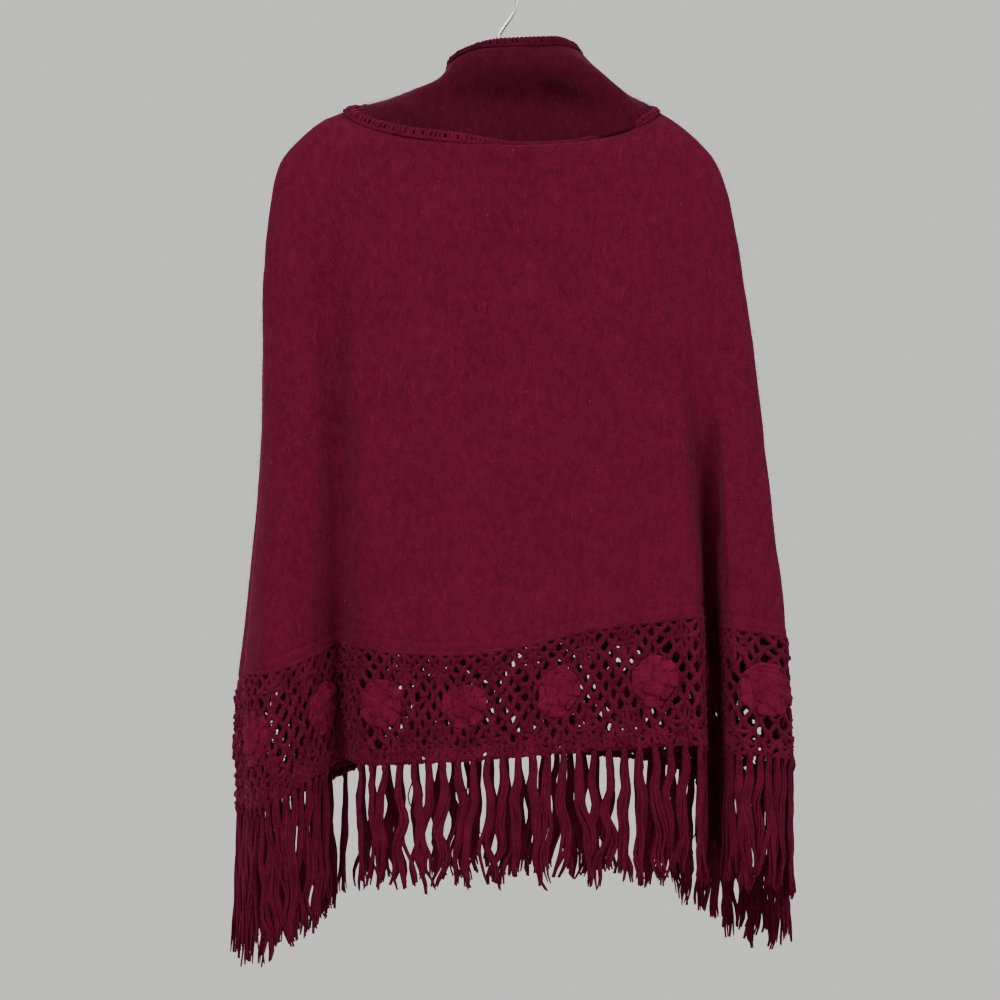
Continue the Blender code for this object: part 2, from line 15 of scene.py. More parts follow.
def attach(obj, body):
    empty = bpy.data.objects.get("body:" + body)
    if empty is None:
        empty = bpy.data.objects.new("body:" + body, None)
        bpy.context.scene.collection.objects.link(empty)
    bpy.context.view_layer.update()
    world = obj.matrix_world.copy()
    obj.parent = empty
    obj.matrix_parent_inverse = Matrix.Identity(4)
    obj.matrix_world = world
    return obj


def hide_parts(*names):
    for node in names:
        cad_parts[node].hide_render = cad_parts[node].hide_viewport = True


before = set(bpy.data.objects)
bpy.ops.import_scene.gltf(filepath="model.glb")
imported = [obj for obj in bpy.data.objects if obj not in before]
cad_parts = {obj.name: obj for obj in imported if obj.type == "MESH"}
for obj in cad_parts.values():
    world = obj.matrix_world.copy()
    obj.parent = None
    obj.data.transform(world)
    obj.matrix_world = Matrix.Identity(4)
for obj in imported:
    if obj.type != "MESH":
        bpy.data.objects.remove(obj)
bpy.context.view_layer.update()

# ---------------------------------------------------------------- the garment's own sizes
CLOTH_THICKNESS = 0.0025
RIDGE_ROUNDING = 0.10
FOLD_GROWTH = 1.4
SLOPE_STEP = 0.002
ARC_SAMPLES = 801
HALF_ROUND = 1.0
WHOLE_ROUND = 2.0

REPEATS_A_SIDE = 8
REPEAT_WIDTH = 0.091
LACE_HEIGHT = 0.110
STRAND_UNEVENNESS = 0.14

WIRE_DIAMETER = 0.0035
HOOK_INNER_RADIUS = 0.0175
SEAM_GAP = 0.0003

# A ring round the garment a row, as in the CAD model.
SECTION_COLUMNS = ("name", "height", "front_drop", "back_drop", "left", "right", "front", "back",
                   "rim", "hollow", "hem", "edge")
SECTIONS = (
    ("rim", -0.0800, -0.0065, -0.0010, -0.046, 0.074, 0.036, 0.033, 1.0, 0.000, 0.00, 0.00),
    ("rim seam", -0.0880, -0.0060, -0.0020, -0.049, 0.083, 0.042, 0.035, 0.9, 0.000, 0.00, 0.00),
    ("roll", -0.1000, -0.0010, -0.0040, -0.053, 0.095, 0.049, 0.037, 0.5, 0.000, 0.00, 0.00),
    ("under roll", -0.1110, 0.0030, -0.0060, -0.063, 0.108, 0.051, 0.038, 0.2, 0.010, 0.00, 0.00),
    ("hollow", -0.1210, 0.0090, -0.0080, -0.083, 0.122, 0.050, 0.040, 0.0, 0.020, 0.00, 0.00),
    ("collar fall", -0.1290, 0.0190, -0.0090, -0.107, 0.136, 0.049, 0.042, 0.0, 0.016, 0.00, 0.00),
    ("collar foot", -0.1345, 0.0275, -0.0100, -0.128, 0.149, 0.049, 0.044, 0.0, 0.008, 0.00, 0.00),
    ("collar seam", -0.1385, 0.0330, -0.0100, -0.143, 0.155, 0.050, 0.045, 0.0, 0.003, 0.00, 0.00),
    ("neck seam", -0.1430, 0.0380, -0.0090, -0.154, 0.160, 0.051, 0.046, 0.0, 0.000, 0.00, 0.00),
    ("shoulder", -0.1535, 0.0340, -0.0060, -0.177, 0.177, 0.050, 0.046, 0.0, 0.000, 0.00, 0.00),
    ("hanger ends", -0.1725, 0.0300, 0.0010, -0.200, 0.200, 0.048, 0.045, 0.0, 0.000, 0.00, 0.00),
    ("below hanger", -0.1955, 0.0260, 0.0080, -0.217, 0.218, 0.046, 0.043, 0.0, 0.000, 0.00, 0.00),
    ("chest", -0.2255, 0.0200, 0.0080, -0.225, 0.229, 0.045, 0.042, 0.0, 0.000, 0.02, 0.00),
    ("body 1", -0.2705, 0.0120, 0.0050, -0.231, 0.238, 0.044, 0.042, 0.0, 0.000, 0.06, 0.00),
    ("body 2", -0.3255, 0.0040, 0.0020, -0.235, 0.247, 0.045, 0.043, 0.0, 0.000, 0.14, 0.00),
    ("body 3", -0.3855, 0.0000, 0.0000, -0.236, 0.256, 0.046, 0.045, 0.0, 0.000, 0.25, 0.00),
    ("body 4", -0.4455, 0.0000, 0.0000, -0.238, 0.263, 0.048, 0.047, 0.0, 0.000, 0.38, 0.00),
    ("body 5", -0.5055, 0.0000, 0.0000, -0.242, 0.270, 0.051, 0.050, 0.0, 0.000, 0.53, 0.00),
    ("body 6", -0.5655, 0.0000, 0.0000, -0.249, 0.276, 0.054, 0.053, 0.0, 0.000, 0.69, 0.00),
    ("body 7", -0.6255, 0.0000, 0.0000, -0.256, 0.283, 0.057, 0.056, 0.0, 0.000, 0.86, 0.00),
    ("hem", -0.6805, 0.0000, 0.0000, -0.262, 0.287, 0.060, 0.059, 0.0, 0.000, 1.00, 0.00),
    ("lace edge", -0.7905, 0.0000, 0.0000, -0.261, 0.292, 0.062, 0.061, 0.0, 0.000, 0.00, 1.00),
)

# How the collar's rim lifts, and how deep its front is pushed in, a place round the neck a row.
COLLAR_PLACE_COLUMNS = ("around", "lift", "hollow")
COLLAR_PLACES = (
    (0.00, -0.014, 0.00),
    (0.12, -0.009, 0.15),
    (0.27, -0.005, 0.65),
    (0.42, -0.001, 0.95),
    (0.56, 0.001, 1.10),
    (0.70, 0.004, 0.95),
    (0.79, 0.006, 0.35),
    (0.87, 0.005, -0.10),
    (1.00, 0.001, 0.00),
    (1.15, -0.003, 0.00),
    (1.35, -0.005, 0.10),
    (1.50, -0.006, 0.25),
    (1.65, -0.007, 0.10),
    (1.85, -0.011, 0.00),
)

# The lines that the cloth folds along, in order round the garment, as in the CAD model. Here the right
# valley has a floor, the lace hangs lower at the left lobe, and the fringe is longer there and at the
# back's right lobe.
FOLD_COLUMNS = ("around", "side", "depth", "start", "haste", "hem", "edge", "fringe")
FOLDS = (
    (0.000, -0.935, -0.004, 13.0, 1.0, -0.032, -0.046, 0.142),  # left seam, in a shallow valley
    (0.070, -0.945, -0.036, 13.0, 1.0, -0.021, -0.048, 0.144),
    (0.130, -0.850, -0.070, 12.0, 1.1, -0.019, -0.037, 0.152),  # left lobe, crest
    (0.200, -0.700, -0.052, 11.5, 1.1, -0.004, -0.012, 0.152),
    (0.250, -0.590, -0.010, 11.5, 1.1, 0.009, 0.003, 0.132),  # left valley
    (0.290, -0.515, -0.046, 12.0, 1.0, 0.006, 0.000, 0.128),
    (0.370, -0.340, -0.068, 15.0, 1.0, 0.000, 0.002, 0.126),
    (0.500, 0.000, -0.070, 16.0, 1.0, 0.003, 0.007, 0.128),
    (0.600, 0.330, -0.066, 16.0, 1.0, 0.023, 0.015, 0.132),
    (0.705, 0.632, -0.068, 15.0, 1.0, 0.034, 0.020, 0.134),
    (0.735, 0.690, -0.064, 15.0, 1.1, 0.036, 0.020, 0.134),
    (0.757, 0.712, -0.010, 15.0, 2.4, 0.034, 0.018, 0.133),
    (0.775, 0.738, 0.002, 15.0, 2.8, 0.032, 0.016, 0.132),  # right valley
    (0.795, 0.769, -0.010, 15.0, 2.2, 0.028, 0.014, 0.131),
    (0.815, 0.785, -0.050, 15.0, 1.2, 0.025, 0.012, 0.130),
    (0.880, 0.900, -0.061, 14.0, 1.0, 0.020, 0.009, 0.128),  # right lobe, crest
    (0.945, 0.995, -0.036, 14.0, 1.0, 0.012, 0.002, 0.132),
    (1.000, 0.975, -0.006, 14.0, 1.0, -0.012, -0.014, 0.138),  # right seam
    (1.060, 0.985, 0.030, 14.0, 1.0, -0.032, -0.034, 0.147),
    (1.125, 0.890, 0.062, 13.0, 1.0, -0.040, -0.042, 0.148),
    (1.200, 0.760, 0.048, 13.0, 1.0, -0.030, -0.030, 0.136),
    (1.250, 0.670, 0.020, 13.0, 1.2, -0.012, -0.016, 0.130),
    (1.300, 0.580, 0.048, 13.0, 1.0, 0.000, -0.006, 0.126),
    (1.390, 0.320, 0.067, 16.0, 1.0, 0.006, 0.002, 0.124),
    (1.500, 0.020, 0.050, 14.0, 1.0, 0.010, 0.008, 0.124),
    (1.610, -0.280, 0.068, 16.0, 1.0, 0.004, 0.002, 0.124),
    (1.700, -0.530, 0.058, 13.0, 1.0, -0.006, -0.008, 0.128),
    (1.755, -0.630, 0.022, 13.0, 1.2, -0.014, -0.018, 0.134),
    (1.810, -0.740, 0.048, 13.0, 1.0, -0.028, -0.032, 0.142),
    (1.880, -0.900, 0.060, 13.0, 1.0, -0.042, -0.044, 0.152),
    (1.945, -1.000, 0.034, 14.0, 1.0, -0.043, -0.046, 0.152),
)

# The hanger's wire, as in the CAD model: one arm, then the stem, across and up.
ARM_POINTS = (
    (0.0065, -0.0885),
    (0.0200, -0.0985),
    (0.0450, -0.1115),
    (0.0750, -0.1228),
    (0.1150, -0.1357),
    (0.1526, -0.1468),
    (0.1752, -0.1566),
    (0.1875, -0.1668),
)
ARM_END_MIDDLE = (0.1925, -0.1815)
ARM_END_RADIUS = 0.0080
ARM_END_START = 45.0
ARM_END_STOP = -90.0
ARM_END_POINTS = 6
STEM_POINTS = (
    (0.0185, -0.0320),
    (0.0150, -0.0440),
    (0.0070, -0.0560),
    (0.0010, -0.0660),
    (0.0000, -0.0740),
    (0.0000, -0.0835),
)
HOOK_TIP_ANGLE = 205.0
HOOK_POINTS = 14
BAR_SHARES = (0.02, 0.06, 0.15, 0.35, 0.65, 0.85, 0.94, 0.98)
TWIST_TURNS = 2.5
TWIST_PITCH = 0.0043
TWIST_POINTS_PER_TURN = 8
TWIST_FOOT = -0.0845
WIRE_SAMPLES = 3
WIRE_ROUNDNESS = 4

# ---------------------------------------------------------------- sizes of the looks
# Soft creases, on the front (-1) or the back (1) of the garment. Each runs from one point
# to another, across and up, and fades out sideways over "width". A negative depth is a trough.
CREASE_COLUMNS = ("side", "across", "up", "foot_across", "foot_up", "width", "depth")
FRONT, BACK = -1.0, 1.0
BODY_CREASES = (
    (FRONT, -0.022, -0.292, -0.104, -0.378, 0.024, -0.0022),
    (FRONT, 0.030, -0.352, -0.070, -0.408, 0.020, 0.0014),
    (FRONT, -0.067, -0.470, -0.073, -0.740, 0.016, -0.0030),
    (FRONT, -0.012, -0.420, -0.028, -0.760, 0.020, 0.0024),
    (FRONT, 0.054, -0.420, 0.076, -0.770, 0.017, -0.0036),
    (FRONT, 0.122, -0.560, 0.125, -0.700, 0.014, -0.0024),
    (FRONT, 0.168, -0.270, 0.190, -0.640, 0.020, 0.0028),
    (FRONT, 0.146, -0.296, 0.074, -0.372, 0.022, 0.0016),
    (FRONT, -0.152, -0.320, -0.118, -0.650, 0.015, 0.0024),
    (FRONT, -0.214, -0.340, -0.234, -0.740, 0.013, 0.0022),
    (FRONT, 0.247, -0.490, 0.263, -0.740, 0.011, -0.0018),
    (FRONT, 0.212, -0.430, 0.214, -0.600, 0.008, -0.0075),
    (FRONT, -0.170, -0.250, -0.154, -0.560, 0.015, -0.0068),
    (FRONT, -0.196, -0.215, -0.152, -0.335, 0.017, -0.0018),
    (FRONT, 0.203, -0.215, 0.160, -0.345, 0.017, -0.0016),
    (FRONT, -0.075, -0.203, 0.062, -0.210, 0.015, -0.0012),
    (FRONT, 0.030, -0.228, 0.110, -0.262, 0.018, -0.0012),
    (BACK, 0.040, -0.205, 0.118, -0.330, 0.022, -0.0024),
    (BACK, -0.062, -0.212, -0.138, -0.352, 0.020, -0.0020),
    (BACK, -0.015, -0.265, 0.012, -0.480, 0.024, 0.0018),
    (BACK, 0.066, -0.420, 0.052, -0.690, 0.016, -0.0032),
    (BACK, -0.052, -0.400, -0.040, -0.690, 0.018, -0.0034),
    (BACK, 0.098, -0.500, 0.110, -0.686, 0.015, 0.0024),
    (BACK, -0.105, -0.470, -0.112, -0.700, 0.015, 0.0026),
    (BACK, 0.196, -0.230, 0.168, -0.390, 0.018, -0.0020),
    (BACK, -0.198, -0.225, -0.160, -0.370, 0.018, -0.0022),
    (BACK, 0.246, -0.480, 0.262, -0.690, 0.012, -0.0020),
    (BACK, -0.222, -0.470, -0.232, -0.710, 0.012, 0.0020),
    (BACK, 0.020, -0.540, 0.016, -0.692, 0.013, -0.0018),
    (BACK, -0.020, -0.186, 0.070, -0.192, 0.014, -0.0012),
)
COLLAR_CREASES = (
    (FRONT, 0.050, -0.082, 0.140, -0.144, 0.010, 0.0070),
    (FRONT, 0.026, -0.112, 0.112, -0.158, 0.011, -0.0062),
    (FRONT, -0.020, -0.130, 0.090, -0.138, 0.015, -0.0060),
    (FRONT, -0.010, -0.164, 0.104, -0.170, 0.018, -0.0125),
    (FRONT, -0.044, -0.094, 0.036, -0.086, 0.008, 0.0026),
    (FRONT, -0.034, -0.096, -0.094, -0.128, 0.008, 0.0024),
    (FRONT, -0.052, -0.112, -0.020, -0.160, 0.009, -0.0020),
    (FRONT, -0.100, -0.135, -0.045, -0.166, 0.007, 0.0018),
    (FRONT, 0.070, -0.092, 0.086, -0.122, 0.008, -0.0022),
    (BACK, 0.050, -0.094, 0.124, -0.132, 0.010, -0.0026),
    (BACK, -0.032, -0.098, -0.098, -0.128, 0.009, 0.0024),
    (BACK, -0.010, -0.096, 0.048, -0.124, 0.012, -0.0030),
    (BACK, 0.020, -0.112, -0.060, -0.126, 0.008, 0.0016),
    (BACK, 0.094, -0.108, 0.040, -0.120, 0.008, 0.0016),
)
CREASE_OVERRUN = 0.20
CREASE_FADE = 0.45
CREASE_SIDE_FADE = 3.0
RIPPLE_HEIGHT = 0.0008
RIPPLE_SCALE = 26.0
FINER_RIPPLE_SCALE = 2.3
FINER_RIPPLE_SHARE = 0.5

# The cloth's hem is turned up, with a stitched groove over it. Fine rows of points carry that.
HEM_SECTION_HEIGHT = 0.055
HEM_TURN_UP = 0.009
HEM_TURN_THICKNESS = 0.0006
HEM_GROOVE = 0.0009
HEM_GROOVE_WIDTH = 0.0013
HEM_ROWS_FROM = 0.32
HEM_ROWS = 14

# The collar's cloth goes on behind the bands at its rim and its base. On the front's right its base and the
# band there are pushed in behind the body's edge.
COLLAR_TOP = 0.06
COLLAR_OVERLAP = 0.90
RIM_TUCK_SLOPE = 2.0
RIM_TUCK_START = 0.4
TUCK = 0.0032
BASE_SUNK = 0.0070
SLUMP_AROUND = 0.65
SLUMP_WIDTH = 0.19
BAND_SUNK = 0.0150

# The body's top edge rolls in over the sunk band, over this share of a section.
EDGE_ROLL = 0.0110
EDGE_ROLL_SHARE = 0.9

BODY_ROWS = 96
BODY_COLUMNS_A_SIDE = 138
COLLAR_ROWS = 54
COLLAR_COLUMNS_A_SIDE = 116

# The twisted cord along the hem.
RING_CORD_SIDES = 8
HEM_CORD_POINTS = 800
HEM_CORD_RADIUS = 0.0025
HEM_CORD_LIFT = 0.0008
HEM_CORD_PITCH = 0.0060
HEM_CORD_OVAL = 0.06

# The crocheted bands at the neck's seam and the collar's rim. Each has a cord along both edges, "at" a
# share of half its width from its middle, and slanting rungs between them. The neck's band narrows where
# it is pushed in, and the rim's where it rolls out of sight.
TRIM_POINTS = 560
TRIM_RADIUS = 0.0019
TRIM_CORD_COLUMNS = ("at", "lift", "thickness", "pitch")
TRIM_CORDS = (
    (-0.8, 0.0010, 1.0, 0.0034),
    (0.8, 0.0016, 1.1, 0.0036),
)
TRIM_CORD_OVAL = 0.22
TRIM_NARROWING = 0.50
RIM_ROLL_AROUND = 0.25
RIM_ROLL_WIDTH = 0.20
NECK_RUNG_SPACING = 0.0044
RIM_RUNG_SPACING = 0.0036
RUNG_POINTS = 7
RUNG_SIDES = 6
RUNG_JITTER = 0.18
RUNG_LEAN = (0.2, 0.7)
RUNG_REACH = 0.85
RUNG_LIFT = 0.0012
RUNG_RISE = 0.0013
RUNG_THICKNESS = 0.80
RUNG_SWELL = 0.35
RUNG_UNEVENNESS = (0.70, 1.35)

# The nap's fibres, and between which sections they stand.
NAP_COLUMNS = ("name", "count", "top", "foot", "shortest", "longest", "lift", "slot")
NAPS = (
    ("body_nap", 25000, "neck seam", "hem", 0.003, 0.009, 0.0011, "alpaca_cloth"),
    ("collar_nap", 5200, "rim seam", "collar seam", 0.003, 0.007, 0.0011, "alpaca_cloth"),
    ("lace_nap", 9000, "hem", "lace edge", 0.002, 0.006, 0.0008, "crochet_lace"),
)
NAP_WIDTH = 0.00016
NAP_KNEE_WIDTH = 0.8
NAP_TURNING = 1.1
NAP_RISES = (0.15, 1.0)
NAP_RISE_BIAS = 1.5
NAP_STANDING = 1.4
NAP_CURLS = (-0.6, 1.0)
NAP_BENDING = 0.4
NAP_ASKEW = 0.01

LINT_FIBRES = 14
LINT_LENGTHS = (0.0010, 0.0022)
LINT_RADIUS = 0.00010
LINT_SIDES = 4
LINT_POINTS = 6
LINT_BOW = 0.5
LINT_LIFT = 0.0026
LINT_ABOVE_HEM = 0.3

# The net of the lace: knots in staggered columns and rows, joined crosswise by crocheted cords, which are
# thicker behind than in front.
NET_COLUMNS_PER_REPEAT = 14
NET_ROWS = 12
NET_TOP = 0.0012
NET_ROW_HEIGHT = 0.0089
NET_JITTER = 0.0017
CORD_RADII = {0.0: 0.00255, 1.0: 0.00340}
CORD_STEPS = 6
CORD_SIDES = 6
CORD_SAG = 0.0012
CORD_SLACK = (0.2, 1.6)
CORD_BEND = 0.0012
CORD_RISE = 0.0006
CORD_LIFT_JITTER = 0.0005
CORD_UNEVENNESS = (0.88, 1.12)
CORD_TWIST = 0.0052
CORD_OVAL = 0.18
CORD_FLATNESS = 0.85
KNOT_SWELL = 0.75
STITCH_LENGTH = 0.0034
STITCH_SWELL = 0.13
ROSETTE_DOWN = NET_TOP + NET_ROW_HEIGHT * NET_ROWS / 2
ROSETTE_HALF_WIDTH = 0.0190
ROSETTE_HALF_HEIGHT = 0.0195

# Extra cords of the stars beside each rosette, in columns and rows of the net from its middle. Each is
# there on both sides, and above and below the middle alike, and so are the bobbles on the stars.
EXTRA_CORDS = (
    ((4.0, 4.0), (6.0, 4.0)),
    ((4.0, 4.0), (4.0, 6.0)),
    ((4.0, 4.0), (2.0, 4.0)),
    ((4.0, 4.0), (4.2, 2.2)),
)
BOBBLE_PLACES = ((4.0, 4.0), (-4.0, 4.0), (4.0, -4.0), (-4.0, -4.0))

# The border isn't sewn on quite evenly: how far each rosette has moved along its side.
ROSETTE_SHIFTS = {
    0.0: (0.000, -0.008, -0.006, -0.024, -0.028, -0.033, -0.030, -0.018),
    1.0: (0.000, 0.008, 0.020, 0.029, 0.033, 0.024, 0.012, 0.002),
}

# The dense band at the lace's lower edge: short posts between a scalloped cord and the edge's own.
BAND_TOP = 0.0972
BAND_FOOT = 0.1086
BAND_POSTS_PER_REPEAT = 14
POST_JITTER = 0.2
POST_LEAN = 0.6
EDGE_CORD_COLUMNS = ("down", "lift", "radius", "pitch", "scallop")
EDGE_CORDS = (
    (BAND_TOP, 0.0004, 0.0017, 0.0044, 0.0036),
    (BAND_FOOT, 0.0003, 0.0023, 0.0050, 0.0010),
)
EDGE_CORD_POINTS = 560
EDGE_CORD_SIDES = 8
EDGE_CORD_OVAL = 0.20

# The rosette's rings of petals: how many, from and to which radius, half widths at both, how high they
# lie, how far they dome, and how far the whole ring is turned.
PETAL_COLUMNS = ("count", "start", "end", "narrow", "wide", "height", "dome", "turn")
PETAL_RINGS = (
    (8, 0.0065, 0.0218, 0.0040, 0.0096, 0.0012, 0.0022, 0.0),
    (6, 0.0018, 0.0132, 0.0026, 0.0080, 0.0032, 0.0021, 22.5),
)
PETAL_GRID = 9
PETAL_TURN_JITTER = 0.06
PETAL_SIZES = (0.86, 1.10)
PETAL_LIFTS = (-0.0003, 0.0009)
PETAL_WIDENING = 0.75
PETAL_TAPER = 0.12
PETAL_TAPER_FROM = 0.76
PETAL_END_ROUNDING = 0.07
PETAL_EDGE_FALL = 0.96
PETAL_DOME_FROM = 0.06
PETAL_DOME_LENGTH = 0.88
PETAL_DOME_ROUNDNESS = 0.4
PETAL_RIM_HEIGHT = 0.0005
PETAL_END_RIM = (0.93, 0.09)
PETAL_SIDE_RIM = (0.90, 0.14)
PETAL_TILT = 0.0020
PETAL_RIB_PITCH = 0.0027
PETAL_RIB_HEIGHT = 0.00042
PETAL_UNDERSIDE = 0.0009
PAD_UV_SIZE = 0.02

# Small ribbed domes: a rosette's button, and a bobble where cords meet.
DOME_COLUMNS = ("radius", "height", "ribs")
DOMES = {
    "button": (0.0042, 0.0048, 0.05),
    "bobble": (0.0042, 0.0022, 0.16),
}
DOME_SPOKES = 17
DOME_RINGS = 7
DOME_INNERMOST = 0.02
DOME_ROUNDNESS = 2.2
DOME_RIBS = 8.0
DOME_RIB_HEIGHT = 0.0002
DOME_DIMPLE = 0.0010
DOME_DIMPLE_WIDTH = 0.3
DOME_UNDERSIDE = 0.0006

# The fringe: each lock is a twisted bundle of yarns that parts into tips. TIP_OF_YARN says which tip each
# yarn ends in. Neighbouring locks hang together in clumps.
LOCKS_A_SIDE = 68
TIP_OF_YARN = (0, 0, 1, 1, 2, 2, 3, 3)
TIPS = 4
CLUMP_SIZES = (1, 1, 2, 2, 3)
CLUMP_GATHER = 0.46
CLUMP_GATHERED_AT = 0.8
YARN_STEPS = 16
YARN_SIDES = 6
YARN_RADIUS = 0.00168
YARN_FLATNESS = 0.68
YARN_OVAL = 0.18
YARN_TWIST = 0.016
LONGEST_SHARE = 1.07

# How the locks lean, sway and wave as they fall. Of two shares in a pair, the first is common to the locks
# of a clump and the second is a lock's own.
LOCK_LEAN = 0.0075
LEAN_SHARES = (0.7, 0.6)
LEAN_CURVE = 1.4
LOCK_SWAY = 0.0032
SWAY_MEAN = 0.75
SWAY_SPREAD = 0.45
SWAY_WAVES = 1.6
SWAY_WAVES_SPREAD = 0.5
SWAY_PHASES = (1.0, 0.4)
SWAY_FREE_AT = 0.3
FINE_SWAY = 0.0009
FINE_SWAY_WAVES = 3.3
FINE_SWAY_PHASES = 3.0
LOCK_FORWARD = (0.0032, 0.0024)
SWING_SPREAD = (1.0, 0.35, 1.0)

# How a lock's yarns lie round its middle line, and how its tips part and curl.
LOCK_HALF_WIDTH = 0.0047
LOCK_WIDTHS = (0.72, 1.22)
LOCK_ROUNDNESS = 0.55
LOCK_WINDING = 5.5
LOCK_NECK = 0.40
LOCK_NECK_LENGTH = 0.50
LOCK_NECK_CURVE = 0.8
PARTED_FROM = (0.50, 0.80)
PARTED_CURVE = 1.4
PARTED_NARROWING = 0.25
TIP_SPREAD = 0.0020
TIP_SPREAD_JITTER = 0.0040
TIP_CURL = 0.0062
TIP_CURL_TURN = 2.1
TIP_CURL_SPREAD = 1.3
TIP_FORWARD = 0.0036
TIP_SHORTENING = 0.04
YARN_NEARNESS = 0.80
YARN_NEARNESS_SPREAD = 0.20
YARN_JITTER = 0.0006
YARN_LENGTH_JITTER = 0.012
YARN_RADIUS_JITTER = 0.18
YARN_ROOT_THINNING = 0.22
YARN_ROOT_LENGTH = 0.2
YARN_TIP_THINNING = 0.50
YARN_TIP_FROM = 0.76
YARN_TIP_CURVE = 1.5

# The locks are knotted closer together towards a side's ends: which share of them is reached where, in
# shares of its length. There are none in the bare stretches, where the fringe parts at the left valley.
LOCKS_REACHED = (0.00, 0.28, 0.72, 1.00)
LOCKS_REACHED_AT = (0.00, 0.22, 0.78, 1.00)
BARE_STRETCHES = {0.0: ((0.186, 0.250),), 1.0: ((0.716, 0.742), (0.758, 0.778))}

ROOT_KNOT_POINTS = 8
ROOT_KNOT_SIDES = 8
ROOT_KNOT_SIZES = (0.85, 1.15)
ROOT_KNOT_RADIUS = 0.0028
ROOT_KNOT_ENDS = 0.60
ROOT_KNOT_SWELL = 0.40
ROOT_KNOT_WRAPS = 4.0
ROOT_KNOT_WRAP_SWELL = 0.08
ROOT_KNOT_TOP = 0.0045
ROOT_KNOT_LENGTH = 0.0145
ROOT_KNOT_LIFT = 0.0008
ROOT_KNOT_RISE = 0.0012
ROOT_KNOT_TURNS = 1.5
ROOT_KNOT_OVAL = 0.12
ROOT_KNOT_FLATNESS = 0.75

STRAYS_A_SIDE = 13
STRAY_RADIUS = 0.0009
STRAY_SIDES = 5
STRAY_LEAVES_AT = 0.35
STRAY_LEAVES_SPREAD = 0.15
STRAY_LEAVING = 0.6
STRAY_REACH = 0.015
STRAY_REACH_SPREAD = 0.007
STRAY_CURVE = 1.2
STRAY_WAVE = 0.0020
STRAY_WAVES = 9.0
STRAY_PHASES = 3.0
STRAY_FORWARD = 0.0045
STRAY_LIFT = 0.0020
STRAY_LENGTH = 0.80
STRAY_LENGTH_SPREAD = 0.08
STRAY_HOOK = 0.16
STRAY_TAPER = 0.35

# Seeds of the random draws.
NET_SEED = 21
PETAL_SEED = 5
TRIM_SEED = 5
FRINGE_SEED = 11
NAP_SEED = 8
LINT_SEED = 3

# ---------------------------------------------------------------- values worked out from those above
SECTION_NUMBER = {row[0]: number for number, row in enumerate(SECTIONS)}
HEM = SECTION_NUMBER["hem"]
LACE_EDGE = SECTION_NUMBER["lace edge"]
NECK_SEAM = SECTION_NUMBER["neck seam"]
COLLAR_SEAM = SECTION_NUMBER["collar seam"]
SIDE_LENGTH = REPEATS_A_SIDE * REPEAT_WIDTH
NET_PITCH = REPEAT_WIDTH / NET_COLUMNS_PER_REPEAT
MIDDLE_OF_LACE = HEM + 0.5
REPEAT_MIDDLES = [(repeat + 0.5) * REPEAT_WIDTH for repeat in range(REPEATS_A_SIDE)]


# ---------------------------------------------------------------- the garment's surface
def column(table, columns, name):
    """One named column of a table."""
    place = columns.index(name)
    return np.array([row[place] for row in table], float)


def smooth_curve(places, values, wanted, loop=None):
    """A cubic curve through a table's values, closed on itself after "loop" where that is given."""
    if loop:
        wanted = np.mod(wanted, loop)
        places = np.concatenate((places[-3:] - loop, places, places[:3] + loop))
        values = np.concatenate((values[-3:], values, values[:3]))
    slopes = np.gradient(values, places)
    cell = np.clip(np.searchsorted(places, wanted, side="right") - 1, 0, len(places) - 2)
    step = places[cell + 1] - places[cell]
    share = np.clip((wanted - places[cell]) / step, 0.0, 1.0)
    rise = share * share * (3.0 - 2.0 * share)
    lead = share * (1.0 - share) ** 2
    tail = share * share * (share - 1.0)
    level = values[cell] * (1.0 - rise) + values[cell + 1] * rise
    return level + step * (lead * slopes[cell] + tail * slopes[cell + 1])


def section_size(name, place):
    """A size of the ring at a section number, which may lie between two rows of the table."""
    numbers = np.arange(len(SECTIONS), dtype=float)
    return smooth_curve(numbers, column(SECTIONS, SECTION_COLUMNS, name), place)


def collar_value(name, around):
    places = column(COLLAR_PLACES, COLLAR_PLACE_COLUMNS, "around")
    return smooth_curve(places, column(COLLAR_PLACES, COLLAR_PLACE_COLUMNS, name), around, WHOLE_ROUND)


def fold_value(name, around):
    places = column(FOLDS, FOLD_COLUMNS, "around")
    return smooth_curve(places, column(FOLDS, FOLD_COLUMNS, name), around, WHOLE_ROUND)


